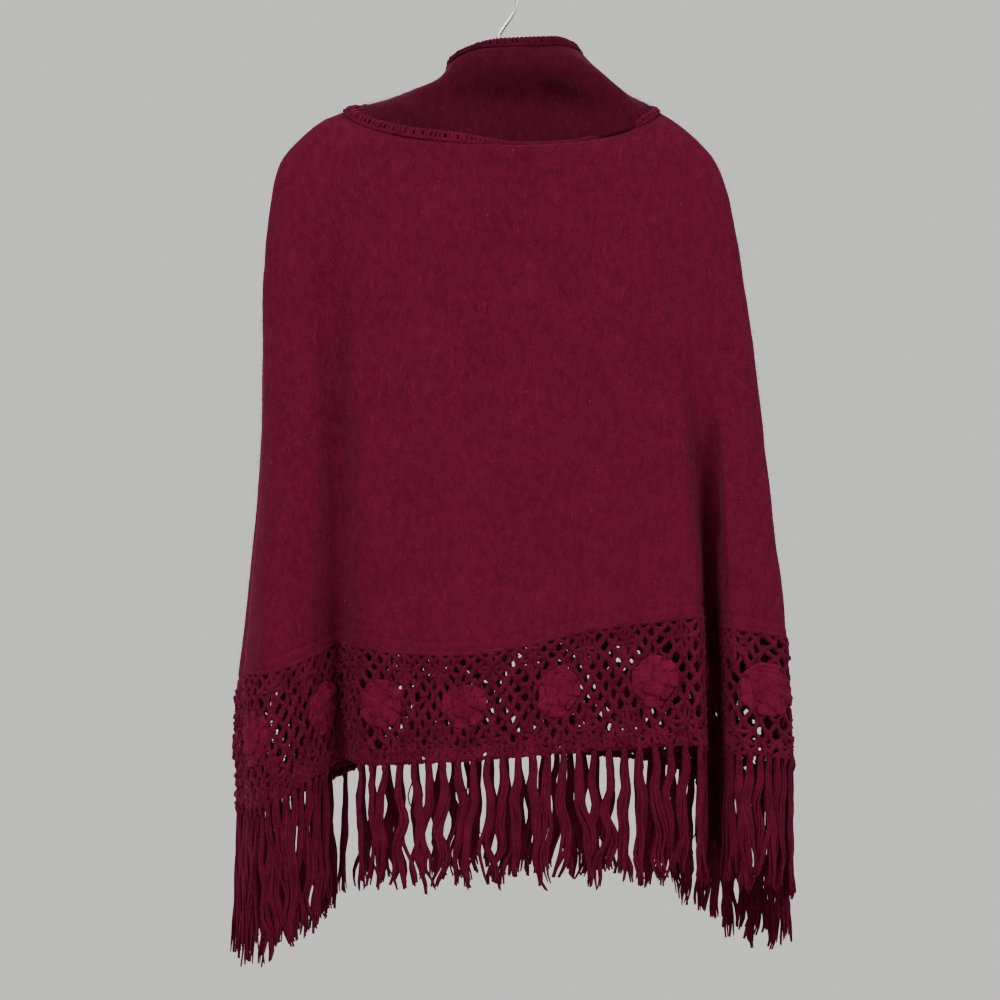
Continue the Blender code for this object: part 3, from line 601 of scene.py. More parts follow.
def garment_points(around, place):
    """Points on the middle of the cloth, at places round the garment and down its sections."""
    around, place = np.broadcast_arrays(np.asarray(around, float), np.asarray(place, float))
    side = -np.cos(np.pi * around)
    ahead = np.sin(np.pi * around)
    is_front = ahead >= 0.0
    left = -section_size("left", place)
    right = section_size("right", place)
    depth = np.where(is_front, section_size("front", place), section_size("back", place))
    drop = np.where(is_front, section_size("front_drop", place), section_size("back_drop", place))
    sag = np.hypot(ahead, RIDGE_ROUNDING) - RIDGE_ROUNDING
    hollow = section_size("hollow", place) * collar_value("hollow", around)

    # The smooth oval that the cloth would have without folds.
    across = side * np.where(side < 0.0, left, right)
    back = -ahead * (depth - hollow)
    up = section_size("height", place) - drop * sag
    up = up + section_size("rim", place) * collar_value("lift", around)
    up = up + section_size("hem", place) * fold_value("hem", around)
    up = up + section_size("edge", place) * fold_value("edge", around)

    # The folded section that it has at the hem, coming in downwards.
    start = fold_value("start", around)
    grown = np.clip((place - start) / (LACE_EDGE - start), 0.0, 1.0) ** FOLD_GROWTH
    growth = 1.0 - (1.0 - grown) ** fold_value("haste", around)
    fold_side = fold_value("side", around)
    edge_depth = np.where(is_front, section_size("front", LACE_EDGE), section_size("back", LACE_EDGE))
    fold_across = fold_side * np.where(fold_side < 0.0, left, right)
    fold_back = fold_value("depth", around) * depth / edge_depth
    across = across + growth * (fold_across - across)
    back = back + growth * (fold_back - back)
    return np.stack((across, back, up), axis=-1)


def garment_normals(around, place):
    """Outward directions at the same places, turned level by the hem."""
    around, place = np.broadcast_arrays(np.asarray(around, float), np.asarray(place, float))
    along = garment_points(around + SLOPE_STEP, place) - garment_points(around - SLOPE_STEP, place)
    above = np.maximum(place - SLOPE_STEP, 0.0)
    below = np.minimum(place + SLOPE_STEP, LACE_EDGE)
    down = garment_points(around, below) - garment_points(around, above)
    normals = np.cross(down, along)
    normals[..., 2] *= 1.0 - section_size("hem", place) - section_size("edge", place)
    return unit(normals)


def unit(vectors):
    return vectors / np.maximum(np.linalg.norm(vectors, axis=-1, keepdims=True), 1e-12)


def level_beside(normals):
    """The level direction beside each outward one."""
    return unit(np.cross(normals, np.array((0.0, 0.0, 1.0))))


def lengths_reached(points):
    """How far along its line each point of one or more lines lies."""
    steps = np.linalg.norm(np.diff(points, axis=-2), axis=-1)
    return np.concatenate((np.zeros(steps.shape[:-1] + (1,)), np.cumsum(steps, axis=-1)), axis=-1)


def even_places(start, share):
    """Places round the garment at shares of half the hem's length, from the seam at "start"."""
    fine = np.linspace(start, start + HALF_ROUND, ARC_SAMPLES)
    reached = lengths_reached(garment_points(fine, np.full(fine.shape, MIDDLE_OF_LACE)))
    return np.interp(share, reached / reached[-1], fine)


def both_sides(first_share, second_share):
    """Places round the garment at such shares of its front and of its back."""
    return np.concatenate((even_places(0.0, first_share), even_places(HALF_ROUND, second_share)))


def round_places(count_a_side):
    """Places all round the garment, evenly spaced along the hem on each side of it."""
    share = np.arange(count_a_side) / count_a_side
    return both_sides(share, share)


def scattered_places(count, generator):
    """Random places all round the garment, half of them on each side."""
    first = generator.random(count // 2)
    return both_sides(first, generator.random(count - count // 2))


def even_sections(top, foot, count):
    """Section numbers from top to foot, evenly spaced down the middle of the front."""
    fine = np.linspace(top, foot, ARC_SAMPLES)
    reached = lengths_reached(garment_points(0.5, fine))
    return np.interp(np.linspace(0.0, reached[-1], count), reached, fine)


def crease_relief(points, around, creases):
    """How far the soft creases move the cloth out at these points."""
    relief = np.zeros(points.shape[:-1])
    ahead = np.broadcast_to(np.sin(np.pi * np.asarray(around)), relief.shape)
    flat = points[..., (0, 2)]
    for row in creases:
        crease = dict(zip(CREASE_COLUMNS, row))
        start = np.array((crease["across"], crease["up"]))
        run = np.array((crease["foot_across"], crease["foot_up"])) - start
        share = (flat - start) @ run / (run @ run)
        aside = np.linalg.norm(flat - start - np.clip(share, 0.0, 1.0)[..., None] * run, axis=-1)
        fade_in = np.clip((share + CREASE_OVERRUN) / CREASE_FADE, 0.0, 1.0)
        fade = fade_in * np.clip((1.0 + CREASE_OVERRUN - share) / CREASE_FADE, 0.0, 1.0)
        on_side = np.clip(-crease["side"] * ahead * CREASE_SIDE_FADE, 0.0, 1.0)
        relief += crease["depth"] * np.exp(-(aside / crease["width"]) ** 2) * fade * fade * on_side
    return relief


def near_place(around, middle, width):
    """From 0 to 1, how near to a middle these places round the garment are."""
    return np.exp(-((np.mod(around, WHOLE_ROUND) - middle) / width) ** 4)


def slump(around):
    """How far the band at the collar's base is pushed in there, from 0 to 1."""
    return near_place(around, SLUMP_AROUND, SLUMP_WIDTH)


def rim_roll(around):
    """How far the rim's band rolls out of sight on the front's left, from 0 to 1."""
    return near_place(around, RIM_ROLL_AROUND, RIM_ROLL_WIDTH)


def body_relief(points, around, place):
    """How far the creases and the rolled top edge move the body's cloth out at these points."""
    below = np.clip((place - NECK_SEAM) / EDGE_ROLL_SHARE, 0.0, 1.0)
    rolled = np.where(place < NECK_SEAM, 0.0, EDGE_ROLL * (1.0 - below) ** 2)
    return crease_relief(points, around, BODY_CREASES) - rolled * slump(around)


def draped(around, place):
    """Points and outward directions on the body's cloth or lace with its creases."""
    points = garment_points(around, place)
    normals = garment_normals(around, place)
    return points + normals * body_relief(points, around, place)[..., None], normals


def hem_relief(place):
    """How far the turned-up hem stands out, and the stitched groove over it sinks in."""
    above = (HEM - place) * HEM_SECTION_HEIGHT
    turned = np.clip((HEM_TURN_UP - above) / HEM_GROOVE_WIDTH, 0.0, 1.0)
    groove = np.exp(-((above - HEM_TURN_UP) / HEM_GROOVE_WIDTH) ** 2)
    return HEM_TURN_THICKNESS * turned - HEM_GROOVE * groove


def ripples(points):
    """A faint unevenness of the cloth."""
    spots = [Vector(spot) for spot in points.reshape(-1, 3) * RIPPLE_SCALE]
    values = [noise.noise(spot) + FINER_RIPPLE_SHARE * noise.noise(spot * FINER_RIPPLE_SCALE)
              for spot in spots]
    return RIPPLE_HEIGHT * np.array(values).reshape(points.shape[:-1])


# ---------------------------------------------------------------- meshes
def add_object(name, data):
    """An object in the scene with this mesh, curve, light or camera."""
    made = bpy.data.objects.new(name, data)
    bpy.context.scene.collection.objects.link(made)
    return made


def add_piece(name, points, face_groups, material, uv=None, node=None):
    """A piece on the root body, from its points and groups of faces with one number of corners each. It
    shows in place of a CAD node where that is given."""
    points = np.asarray(points, float).reshape(-1, 3)
    corners = np.concatenate([np.asarray(group).ravel() for group in face_groups]).astype(np.int32)
    sizes = np.concatenate([np.full(len(group), np.shape(group)[1]) for group in face_groups])
    mesh = bpy.data.meshes.new(name)
    mesh.vertices.add(len(points))
    mesh.vertices.foreach_set("co", points.ravel())
    mesh.loops.add(len(corners))
    mesh.loops.foreach_set("vertex_index", corners)
    mesh.polygons.add(len(sizes))
    mesh.polygons.foreach_set("loop_start", np.concatenate(([0], np.cumsum(sizes)[:-1])).astype(np.int32))
    mesh.update(calc_edges=True)
    if uv is not None:
        spread = uv if len(uv) == len(corners) else uv[corners]
        mesh.uv_layers.new(name="cloth").data.foreach_set("uv", spread.ravel())
    mesh.shade_smooth()
    mesh.materials.append(material)
    piece = add_object(name, mesh)
    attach(piece, "root")
    if node:
        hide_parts(node)
    return piece


def add_joined(name, parts, material, node=None):
    """One piece from several sets of tubes or pads, each with its points, face groups and UVs."""
    first = 0
    groups = []
    for part_points, part_groups, _ in parts:
        groups += [group + first for group in part_groups]
        first += len(part_points)
    points = np.concatenate([part[0] for part in parts])
    uv = np.concatenate([part[2] for part in parts])
    return add_piece(name, points, groups, material, uv, node)


def tubes(routes, radii, outward, sides=CORD_SIDES, turns=0.0, oval=0.0, flatness=1.0, closed=False):
    """Tubes along many routes of one length, with caps, or closed on themselves. "outward" is the garment's
    outward direction at each point, "turns" how often the oval section has turned there, and "flatness"
    its height to its width."""
    if closed:
        tangents = unit(np.roll(routes, -1, axis=1) - np.roll(routes, 1, axis=1))
    else:
        tangents = unit(np.gradient(routes, axis=1))
    across = unit(np.cross(tangents, outward))
    upward = np.cross(across, tangents)
    count, steps = routes.shape[:2]
    angles = 2.0 * np.pi * np.arange(sides) / sides
    turned = np.broadcast_to(turns, (count, steps))[..., None] * 2.0 * np.pi
    reach = np.broadcast_to(radii, (count, steps))[..., None] * (1.0 + oval * np.cos(2.0 * (angles - turned)))
    sideways = (reach * np.cos(angles))[..., None] * across[:, :, None]
    outwards = (reach * np.sin(angles) * flatness)[..., None] * upward[:, :, None]
    points = routes[:, :, None] + sideways + outwards

    ring = np.arange(sides)
    beside = (ring + 1) % sides
    step = np.arange(steps if closed else steps - 1)[None, :, None]
    first = np.arange(count)[:, None, None] * steps * sides
    near = first + step * sides
    far = first + (step + 1) % steps * sides
    quads = np.stack((near + ring, far + ring, far + beside, near + beside), axis=-1).reshape(-1, 4)
    groups = [quads]
    if not closed:
        groups.append(np.concatenate((first[:, 0] + ring, first[:, 0] + (steps - 1) * sides + ring[::-1])))
    uv = np.stack(np.broadcast_arrays(angles / (2.0 * np.pi), lengths_reached(routes)[..., None]), axis=-1)
    return points.reshape(-1, 3), groups, uv.reshape(-1, 2)


def patches(upper, lower):
    """Closed pads from grids of upper and lower points, many at once."""
    count, rows, columns = upper.shape[:3]
    size = rows * columns
    number = np.arange(size).reshape(rows, columns)
    quads = np.stack((number[:-1, :-1], number[1:, :-1], number[1:, 1:], number[:-1, 1:]), -1).reshape(-1, 4)
    rim = np.concatenate((number[0, :-1], number[:-1, -1], number[-1, :0:-1], number[:0:-1, 0]))
    walls = np.stack((rim, np.roll(rim, -1), np.roll(rim, -1) + size, rim + size), -1)
    faces = np.concatenate((quads, quads[:, ::-1] + size, walls))
    points = np.concatenate((upper.reshape(count, size, 3), lower.reshape(count, size, 3)), axis=1)
    faces = (faces[None] + np.arange(count)[:, None, None] * 2 * size).reshape(-1, 4)
    share = np.stack(np.meshgrid(np.arange(columns), np.arange(rows)), -1).reshape(-1, 2) / (rows - 1)
    return points.reshape(-1, 3), [faces], np.tile(share * PAD_UV_SIZE, (2 * count, 1))


# ---------------------------------------------------------------- materials
DEEP = (0.070, 0.0029, 0.0140)
BRIGHT = (0.171, 0.0092, 0.0390)
FIBRE = (0.270, 0.0240, 0.0800)
LINT_COLOUR = (0.60, 0.48, 0.50)
FLOOR_COLOURS = ((0.72, 0.72, 0.705), (0.78, 0.78, 0.765))
WIRE_COLOURS = ((0.86, 0.86, 0.85), (0.70, 0.70, 0.69))
SHEEN_TINT = (0.75, 0.16, 0.32, 1.0)
# The collar's cloth and nap are the body's made darker by this factor: painted shade, for the shade that the
# collar lies in.
COLLAR_SHADE_TONE = 0.58

# Noise textures on an object's own coordinates: how those are stretched, and turned about Y first.
TEXTURE_COLUMNS = ("stretch", "turn", "scale", "detail", "roughness")
TEXTURES = {
    "cloth mottle": ((1.0, 1.0, 0.80), 0.0, 17.0, 4.0, 0.55),
    "cloth clumps": ((1.0, 1.0, 0.60), 0.0, 150.0, 5.0, 0.65),
    "upright fibres": ((1.0, 1.0, 0.13), 0.0, 900.0, 2.0, 0.55),
    "level fibres": ((0.16, 1.0, 1.0), 0.0, 800.0, 2.0, 0.55),
    "slanting fibres": ((1.0, 1.0, 0.12), 0.7, 700.0, 2.0, 0.50),
    "yarn mottle": ((1.0, 1.0, 1.0), 0.0, 60.0, 4.0, 0.55),
    "yarn fibres": ((1.0, 1.0, 0.35), 0.0, 900.0, 3.0, 0.55),
    "fibre mottle": ((1.0, 1.0, 1.0), 0.0, 90.0, 2.0, 0.55),
    "wire dulling": ((1.0, 1.0, 1.0), 0.0, 55.0, 4.0, 0.55),
    "drawing lines": ((1.0, 1.0, 0.05), 0.0, 2500.0, 2.0, 0.55),
    "floor grain": ((1.0, 1.0, 1.0), 0.0, 6.0, 3.0, 0.55),
}

# Which range of a value is spread over which other range. The surround's are directions' heights and depths.
SPREAD_COLUMNS = ("low", "high", "to_low", "to_high")
SPREADS = {
    "cloth mottle": (0.32, 0.68, 0.20, 0.33),
    "cloth clumps": (0.30, 0.70, 0.00, 0.50),
    "upright fibres": (0.62, 0.74, 0.00, 1.00),
    "level fibres": (0.64, 0.76, 0.00, 1.00),
    "slanting fibres": (0.63, 0.76, 0.00, 1.00),
    "yarn mottle": (0.30, 0.70, 0.00, 0.50),
    "yarn fibres": (0.35, 0.70, 0.00, 0.50),
    "wire dulling": (0.30, 0.70, 0.16, 0.30),
    "surround height": (-1.00, 1.00, 0.00, 1.00),
    "surround behind": (-0.40, 0.40, 0.41, 1.00),
}

# Spun yarns: their names, tones, plies round the yarn and sheens. The rim's darker tone is painted shade, to
# go with the collar.
YARN_COLUMNS = ("name", "tone", "plies", "sheen")
YARNS = {
    "crochet": ("crochet alpaca", 1.02, 260.0, 0.22),
    "rosettes": ("rosette alpaca", 1.32, 260.0, 0.14),
    "rim": ("collar crochet painted shade", 0.70, 260.0, 0.16),
    "fringe": ("fringe alpaca", 0.96, 150.0, 0.12),
}
BODY_SHEEN = 0.18
COLLAR_SHEEN = 0.26
FABRIC_ROUGHNESS = 0.92
FABRIC_SPECULAR = 0.06
SHEEN_ROUGHNESS = 0.42

# Bumps: their strengths and distances, and the share of each thing that makes their heights.
CLOTH_BUMP = (0.55, 0.0011)
YARN_BUMP = (0.60, 0.0006)
WIRE_BUMP = (0.10, 0.0002)
WEAVE_SCALE = 196.0
WEAVE_DISTORTION = 0.6
WEAVE_SHARE = 0.22
CLUMP_SHARE = 0.9
STREAK_SHARE = 0.35
STREAK_COLOUR = 0.42
PLY_SLANT = 0.35
PLY_DISTORTION = 0.8
PLY_SHARE = 0.6
YARN_FIBRE_SHARE = 0.7
WAVE_DETAIL = 1.0
WAVE_DETAIL_SCALE = 2.0

FIBRE_ROUGHNESS = 0.7
FIBRE_SPECULAR = 0.2
FIBRE_DARKEST = 0.55


def toned(colour, tone=1.0):
    """A colour made darker or lighter by a factor, with its alpha."""
    return tuple(part * tone for part in colour) + (1.0,)


class Graph:
    """The nodes of a material or of the surround, with a method for each thing that is built of them."""

    def __init__(self, owner):
        owner.use_nodes = True
        self.nodes = owner.node_tree.nodes
        self.links = owner.node_tree.links
        self.places = self.add("ShaderNodeTexCoord").outputs

    def feed(self, node, **inputs):
        """Sets a node's inputs to numbers or links them to sockets, by their names with _ for a space."""
        for name, value in inputs.items():
            socket = node.inputs[name.replace("_", " ")]
            if isinstance(value, bpy.types.NodeSocket):
                self.links.new(value, socket)
            else:
                socket.default_value = value
        return node

    def add(self, kind, settings=None, **inputs):
        """A node with its settings and its inputs."""
        made = self.nodes.new(kind)
        for name, value in (settings or {}).items():
            setattr(made, name, value)
        return self.feed(made, **inputs)

    def texture(self, name):
        """One of the noise textures in the table."""
        row = dict(zip(TEXTURE_COLUMNS, TEXTURES[name]))
        mapping = self.add("ShaderNodeMapping", Vector=self.places["Object"], Scale=row["stretch"],
                           Rotation=(0.0, row["turn"], 0.0))
        return self.add("ShaderNodeTexNoise", Vector=mapping.outputs["Vector"], Scale=row["scale"],
                        Detail=row["detail"], Roughness=row["roughness"]).outputs["Fac"]

    def spread(self, value, name):
        """A value through one of the spreads in the table."""
        row = dict(zip(SPREAD_COLUMNS, SPREADS[name]))
        return self.add("ShaderNodeMapRange", {"clamp": True}, Value=value, From_Min=row["low"],
                        From_Max=row["high"], To_Min=row["to_low"], To_Max=row["to_high"]).outputs["Result"]

    def math(self, operation, first, second):
        """Two values, each a socket or a number, through one math operation."""
        node = self.add("ShaderNodeMath", {"operation": operation})
        for place, value in enumerate((first, second)):
            if isinstance(value, float):
                node.inputs[place].default_value = value
            else:
                self.links.new(value, node.inputs[place])
        return node.outputs["Value"]

    def scaled(self, value, factor):
        """A value times a number."""
        return self.math("MULTIPLY", value, factor)

    def mix(self, share, first, second):
        """A mix of two colours, each a socket or four numbers, by a share."""
        node = self.add("ShaderNodeMix", {"data_type": "RGBA"}, Factor=share)
        for name, value in (("A", first), ("B", second)):
            socket = [item for item in node.inputs if item.name == name and item.type == "RGBA"][0]
            if isinstance(value, tuple):
                socket.default_value = value
            else:
                self.links.new(value, socket)
        return [item for item in node.outputs if item.type == "RGBA"][0]

    def wave(self, coordinates, direction, scale, distortion):
        """A sine wave texture along one direction of the coordinates."""
        settings = {"wave_type": "BANDS", "bands_direction": direction, "wave_profile": "SIN"}
        return self.add("ShaderNodeTexWave", settings, Vector=coordinates, Scale=scale, Detail=WAVE_DETAIL,
                        Distortion=distortion, Detail_Scale=WAVE_DETAIL_SCALE).outputs["Fac"]

    def bump(self, height, strength, distance):
        """The shading of small heights."""
        node = self.add("ShaderNodeBump", Height=height, Strength=strength, Distance=distance)
        return node.outputs["Normal"]

    def shade(self, **inputs):
        """Sets or links inputs of the material's shader."""
        self.feed(self.nodes["Principled BSDF"], **inputs)

    def shade_fabric(self, colour, height, bump, sheen):
        """Colour, bump and sheen on the shader of a fabric."""
        self.shade(Base_Color=colour, Normal=self.bump(height, *bump), Roughness=FABRIC_ROUGHNESS,
                   Specular_IOR_Level=FABRIC_SPECULAR, Sheen_Weight=sheen, Sheen_Roughness=SHEEN_ROUGHNESS,
                   Sheen_Tint=SHEEN_TINT)


def brushed_cloth(name, tone, sheen):
    """Woven alpaca with a brushed nap: a faint weave under mottled clumps and single fibres."""
    material = bpy.data.materials.new(name)
    graph = Graph(material)
    clumps = graph.texture("cloth clumps")
    share = graph.math("ADD", graph.spread(graph.texture("cloth mottle"), "cloth mottle"),
                       graph.spread(clumps, "cloth clumps"))
    streaks = 0.0
    for fibres in ("upright fibres", "level fibres", "slanting fibres"):
        streaks = graph.math("MAXIMUM", streaks, graph.spread(graph.texture(fibres), fibres))
    colour = graph.mix(share, toned(DEEP, tone), toned(BRIGHT, tone))
    colour = graph.mix(graph.scaled(streaks, STREAK_COLOUR), colour, toned(FIBRE, tone))

    warp = graph.wave(graph.places["UV"], "X", WEAVE_SCALE, WEAVE_DISTORTION)
    weft = graph.wave(graph.places["UV"], "Y", WEAVE_SCALE, WEAVE_DISTORTION)
    height = graph.math("ADD", graph.scaled(graph.math("MULTIPLY", warp, weft), WEAVE_SHARE),
                        graph.scaled(clumps, CLUMP_SHARE))
    height = graph.math("ADD", height, graph.scaled(streaks, STREAK_SHARE))
    graph.shade_fabric(colour, height, CLOTH_BUMP, sheen)
    return material


def yarn(name, tone, plies, sheen):
    """Spun yarn: plies wound round its length, along its own coordinates, and loose fibres."""
    material = bpy.data.materials.new(name)
    graph = Graph(material)
    fibres = graph.texture("yarn fibres")
    share = graph.math("ADD", graph.spread(graph.texture("yarn mottle"), "yarn mottle"),
                       graph.spread(fibres, "yarn fibres"))
    slanted = graph.add("ShaderNodeMapping", Vector=graph.places["UV"], Rotation=(0.0, 0.0, PLY_SLANT),
                        Scale=(1.0, plies, 1.0))
    twist = graph.wave(slanted.outputs["Vector"], "DIAGONAL", 1.0, PLY_DISTORTION)
    height = graph.math("ADD", graph.scaled(twist, PLY_SHARE), graph.scaled(fibres, YARN_FIBRE_SHARE))
    colour = graph.mix(share, toned(DEEP, tone), toned(BRIGHT, tone))
    graph.shade_fabric(colour, height, YARN_BUMP, sheen)
    return material


def loose_fibre(name, colour):
    """The single fibres of the nap, uneven in tone."""
    material = bpy.data.materials.new(name)
    graph = Graph(material)
    mixed = graph.mix(graph.texture("fibre mottle"), toned(colour, FIBRE_DARKEST), toned(colour))
    graph.shade(Base_Color=mixed, Roughness=FIBRE_ROUGHNESS, Specular_IOR_Level=FIBRE_SPECULAR)
    return material


def plated_wire():
    """Bright plated steel with faint drawing lines along it and a little dulling."""
    material = bpy.data.materials.new("plated steel wire")
    graph = Graph(material)
    dulling = graph.texture("wire dulling")
    graph.shade(Base_Color=graph.mix(dulling, *map(toned, WIRE_COLOURS)), Metallic=1.0,
                Roughness=graph.spread(dulling, "wire dulling"),
                Normal=graph.bump(graph.texture("drawing lines"), *WIRE_BUMP))
    return material


# ---------------------------------------------------------------- cloth
def body_shape():
    """Places of the body's points round and down the garment, and how far each is moved out."""
    around = round_places(BODY_COLUMNS_A_SIDE)[None, :]
    upper = even_sections(NECK_SEAM, HEM - HEM_ROWS_FROM, BODY_ROWS)
    lower = np.linspace(HEM - HEM_ROWS_FROM, HEM, HEM_ROWS + 1)[1:]
    places = np.concatenate((upper, lower))[:, None]
    points = garment_points(around, places)
    return around, places, body_relief(points, around, places) + hem_relief(places) + ripples(points)


def collar_shape():
    """The same for the collar, which is tucked in behind the bands at its rim and its base."""
    around = round_places(COLLAR_COLUMNS_A_SIDE)[None, :]
    rows = even_sections(COLLAR_TOP, COLLAR_SEAM, COLLAR_ROWS)[:, None]
    lowered = np.clip((rows - SECTION_NUMBER["hollow"]) / (COLLAR_SEAM - SECTION_NUMBER["hollow"]), 0.0, 1.0)
    behind_rim = np.clip(RIM_TUCK_SLOPE * (SECTION_NUMBER["rim seam"] - rows) + RIM_TUCK_START, 0.0, 1.0)
    places = rows + COLLAR_OVERLAP * lowered
    points = garment_points(around, places)
    relief = crease_relief(points, around, COLLAR_CREASES) - TUCK * np.maximum(lowered ** 2, behind_rim)
    relief = relief - BASE_SUNK * lowered * np.clip(collar_value("hollow", around), 0.0, 1.0)
    return around, places, relief + ripples(points)


def add_shell(name, shape, material, node):
    """A thin closed shell of cloth in place of a CAD node."""
    around, places, relief = shape
    normals = garment_normals(around, places)
    middle = garment_points(around, places) + normals * relief[..., None]
    outer = middle + normals * CLOTH_THICKNESS / 2.0
    inner = middle - normals * CLOTH_THICKNESS / 2.0

    rows, count = relief.shape
    row, spot = np.meshgrid(np.arange(rows - 1), np.arange(count), indexing="ij")
    row, spot = row.ravel()[:, None], spot.ravel()[:, None]
    corner_rows = row + np.array((0, 1, 1, 0))
    corner_spots = spot + np.array((0, 0, 1, 1))
    edge_spots = np.arange(count)[:, None] + np.array((0, 0, 1, 1))
    layer = rows * count
    outer_faces = corner_rows * count + corner_spots % count
    inner_faces = (layer + outer_faces)[:, ::-1]
    sides = np.array((0, layer, layer, 0))
    top_faces = (edge_spots % count + sides)[:, ::-1]
    foot_faces = (rows - 1) * count + edge_spots % count + sides

    down = lengths_reached(middle.swapaxes(0, 1)).T
    along = lengths_reached(np.concatenate((middle, middle[:, :1]), axis=1))
    flat = np.stack((along, down[:, np.arange(count + 1) % count]), axis=-1)
    uv = np.concatenate((flat[corner_rows, corner_spots].reshape(-1, 2),
                         flat[corner_rows, corner_spots][:, ::-1].reshape(-1, 2),
                         flat[0, edge_spots][:, ::-1].reshape(-1, 2),
                         flat[rows - 1, edge_spots].reshape(-1, 2)))
    faces = np.concatenate((outer_faces, inner_faces, top_faces, foot_faces))
    points = np.concatenate((outer.reshape(-1, 3), inner.reshape(-1, 3)))
    return add_piece(name, points, [faces], material, uv, node)


def ring_cord(place, lift, radius, count, pitch, oval):
    """A twisted cord all round the garment at one section, or at a section for each point."""
    points, normals = draped(round_places(count // 2), place)
    route = points + normals * np.broadcast_to(lift, (count,))[:, None]
    length = lengths_reached(np.concatenate((route, route[:1])))[-1]
    turns = np.arange(count) / count * round(length / pitch / 2.0)
    return tubes(route[None], radius, normals[None], RING_CORD_SIDES, turns, oval, closed=True)


def ladder_trim(name, top, foot, rung_spacing, rolled, depth, material, node):
    """A crocheted band: a twisted cord along each edge and slanting rungs between them. "rolled" says how
    far it narrows and is pushed in at a place round the garment, and "depth" how far in at most."""
    around = round_places(TRIM_POINTS // 2)
    middle = (top + foot) / 2.0
    half = (foot - top) / 2.0 * (1.0 - TRIM_NARROWING * rolled(around))
    parts = []
    for row in TRIM_CORDS:
        cord = dict(zip(TRIM_CORD_COLUMNS, row))
        parts.append(ring_cord(middle + half * cord["at"], cord["lift"] - depth * rolled(around),
                               TRIM_RADIUS * cord["thickness"], TRIM_POINTS, cord["pitch"], TRIM_CORD_OVAL))

    points = garment_points(around, middle)
    fine = np.concatenate((around, [WHOLE_ROUND]))
    reached = lengths_reached(np.concatenate((points, points[:1])))
    rungs = int(reached[-1] / rung_spacing)
    share = np.linspace(0.0, 1.0, RUNG_POINTS)
    generator = np.random.default_rng(TRIM_SEED)
    starts = (np.arange(rungs) + generator.uniform(-RUNG_JITTER, RUNG_JITTER, rungs)) * reached[-1] / rungs
    lean = generator.uniform(*RUNG_LEAN, rungs) * rung_spacing
    spots = np.interp(starts[:, None] + lean[:, None] * share, reached, fine)
    across = np.interp(spots, fine, np.concatenate((half, half[:1])))
    places = middle + across * RUNG_REACH * (2.0 * share - 1.0)
    normals = garment_normals(spots, places)
    rise = RUNG_LIFT + RUNG_RISE * np.sin(np.pi * share) - depth * rolled(spots)
    routes = garment_points(spots, places) + normals * rise[..., None]
    swell = RUNG_THICKNESS + RUNG_SWELL * np.sin(np.pi * share)
    radii = TRIM_RADIUS * swell * generator.uniform(*RUNG_UNEVENNESS, (rungs, 1))
    parts.append(tubes(routes, radii, normals, RUNG_SIDES))
    return add_joined(name, parts, material, node)


# ---------------------------------------------------------------- lace
def lace_surface(start, along, down, lift):
    """Points over one side's lace from flat ones, and the outward directions there."""
    moved = np.interp(along, (0.0, *REPEAT_MIDDLES, SIDE_LENGTH), (0.0, *ROSETTE_SHIFTS[start], 0.0))
    around = even_places(start, np.clip((along + moved) / SIDE_LENGTH, 0.0, 1.0))
    place = HEM + down / LACE_HEIGHT * (LACE_EDGE - HEM)
    points, normals = draped(around, np.clip(place, HEM, LACE_EDGE))
    points[..., 2] -= np.maximum(down - LACE_HEIGHT, 0.0)
    return points + normals * np.asarray(lift)[..., None], normals


def net_knots(generator):
    """The net's knots by their columns and rows, flat: along and down. Also those that a rosette covers."""
    columns = REPEATS_A_SIDE * NET_COLUMNS_PER_REPEAT
    knots = {}
    covered = set()
    for across in range(columns + 1):
        for row in range(NET_ROWS + 1):
            if (across + row) % 2 == 0:
                continue
            along = across * NET_PITCH
            down = NET_TOP + NET_ROW_HEIGHT * row
            jitter = generator.uniform(-NET_JITTER, NET_JITTER, 2)
            if row in (0, NET_ROWS):
                jitter[1] = 0.0
            if across in (0, columns):
                jitter[0] = 0.0
            middle = (across // NET_COLUMNS_PER_REPEAT + 0.5) * REPEAT_WIDTH
            if math.hypot((along - middle) / ROSETTE_HALF_WIDTH,
                          (down - ROSETTE_DOWN) / ROSETTE_HALF_HEIGHT) < 1.0:
                covered.add((across, row))
            knots[(across, row)] = (along + jitter[0], down + jitter[1])
    return knots, covered


def net_cords(generator):
    """Both ends of each cord in one side's net, flat: along and down. A cord that meets a rosette ends
    under its petals."""
    knots, covered = net_knots(generator)
    cords = []
    for (across, row), spot in knots.items():
        for step in (-1, 1):
            beside = (across + step, row + 1)
            if beside in knots and not {beside, (across, row)} <= covered:
                cords.append((spot, knots[beside]))
    for middle in REPEAT_MIDDLES:
        for ends in EXTRA_CORDS:
            for side in (-NET_PITCH, NET_PITCH):
                for over in (-NET_ROW_HEIGHT, NET_ROW_HEIGHT):
                    cords.append([(middle + side * end[0], ROSETTE_DOWN - over * end[1]) for end in ends])
    posts = REPEATS_A_SIDE * BAND_POSTS_PER_REPEAT
    for post in range(posts):
        along = (post + 0.5 + generator.uniform(-POST_JITTER, POST_JITTER)) * SIDE_LENGTH / posts
        lean = generator.uniform(-POST_LEAN, POST_LEAN) * SIDE_LENGTH / posts
        cords.append(((along, BAND_TOP), (along + lean, BAND_FOOT)))
    return np.array(cords)


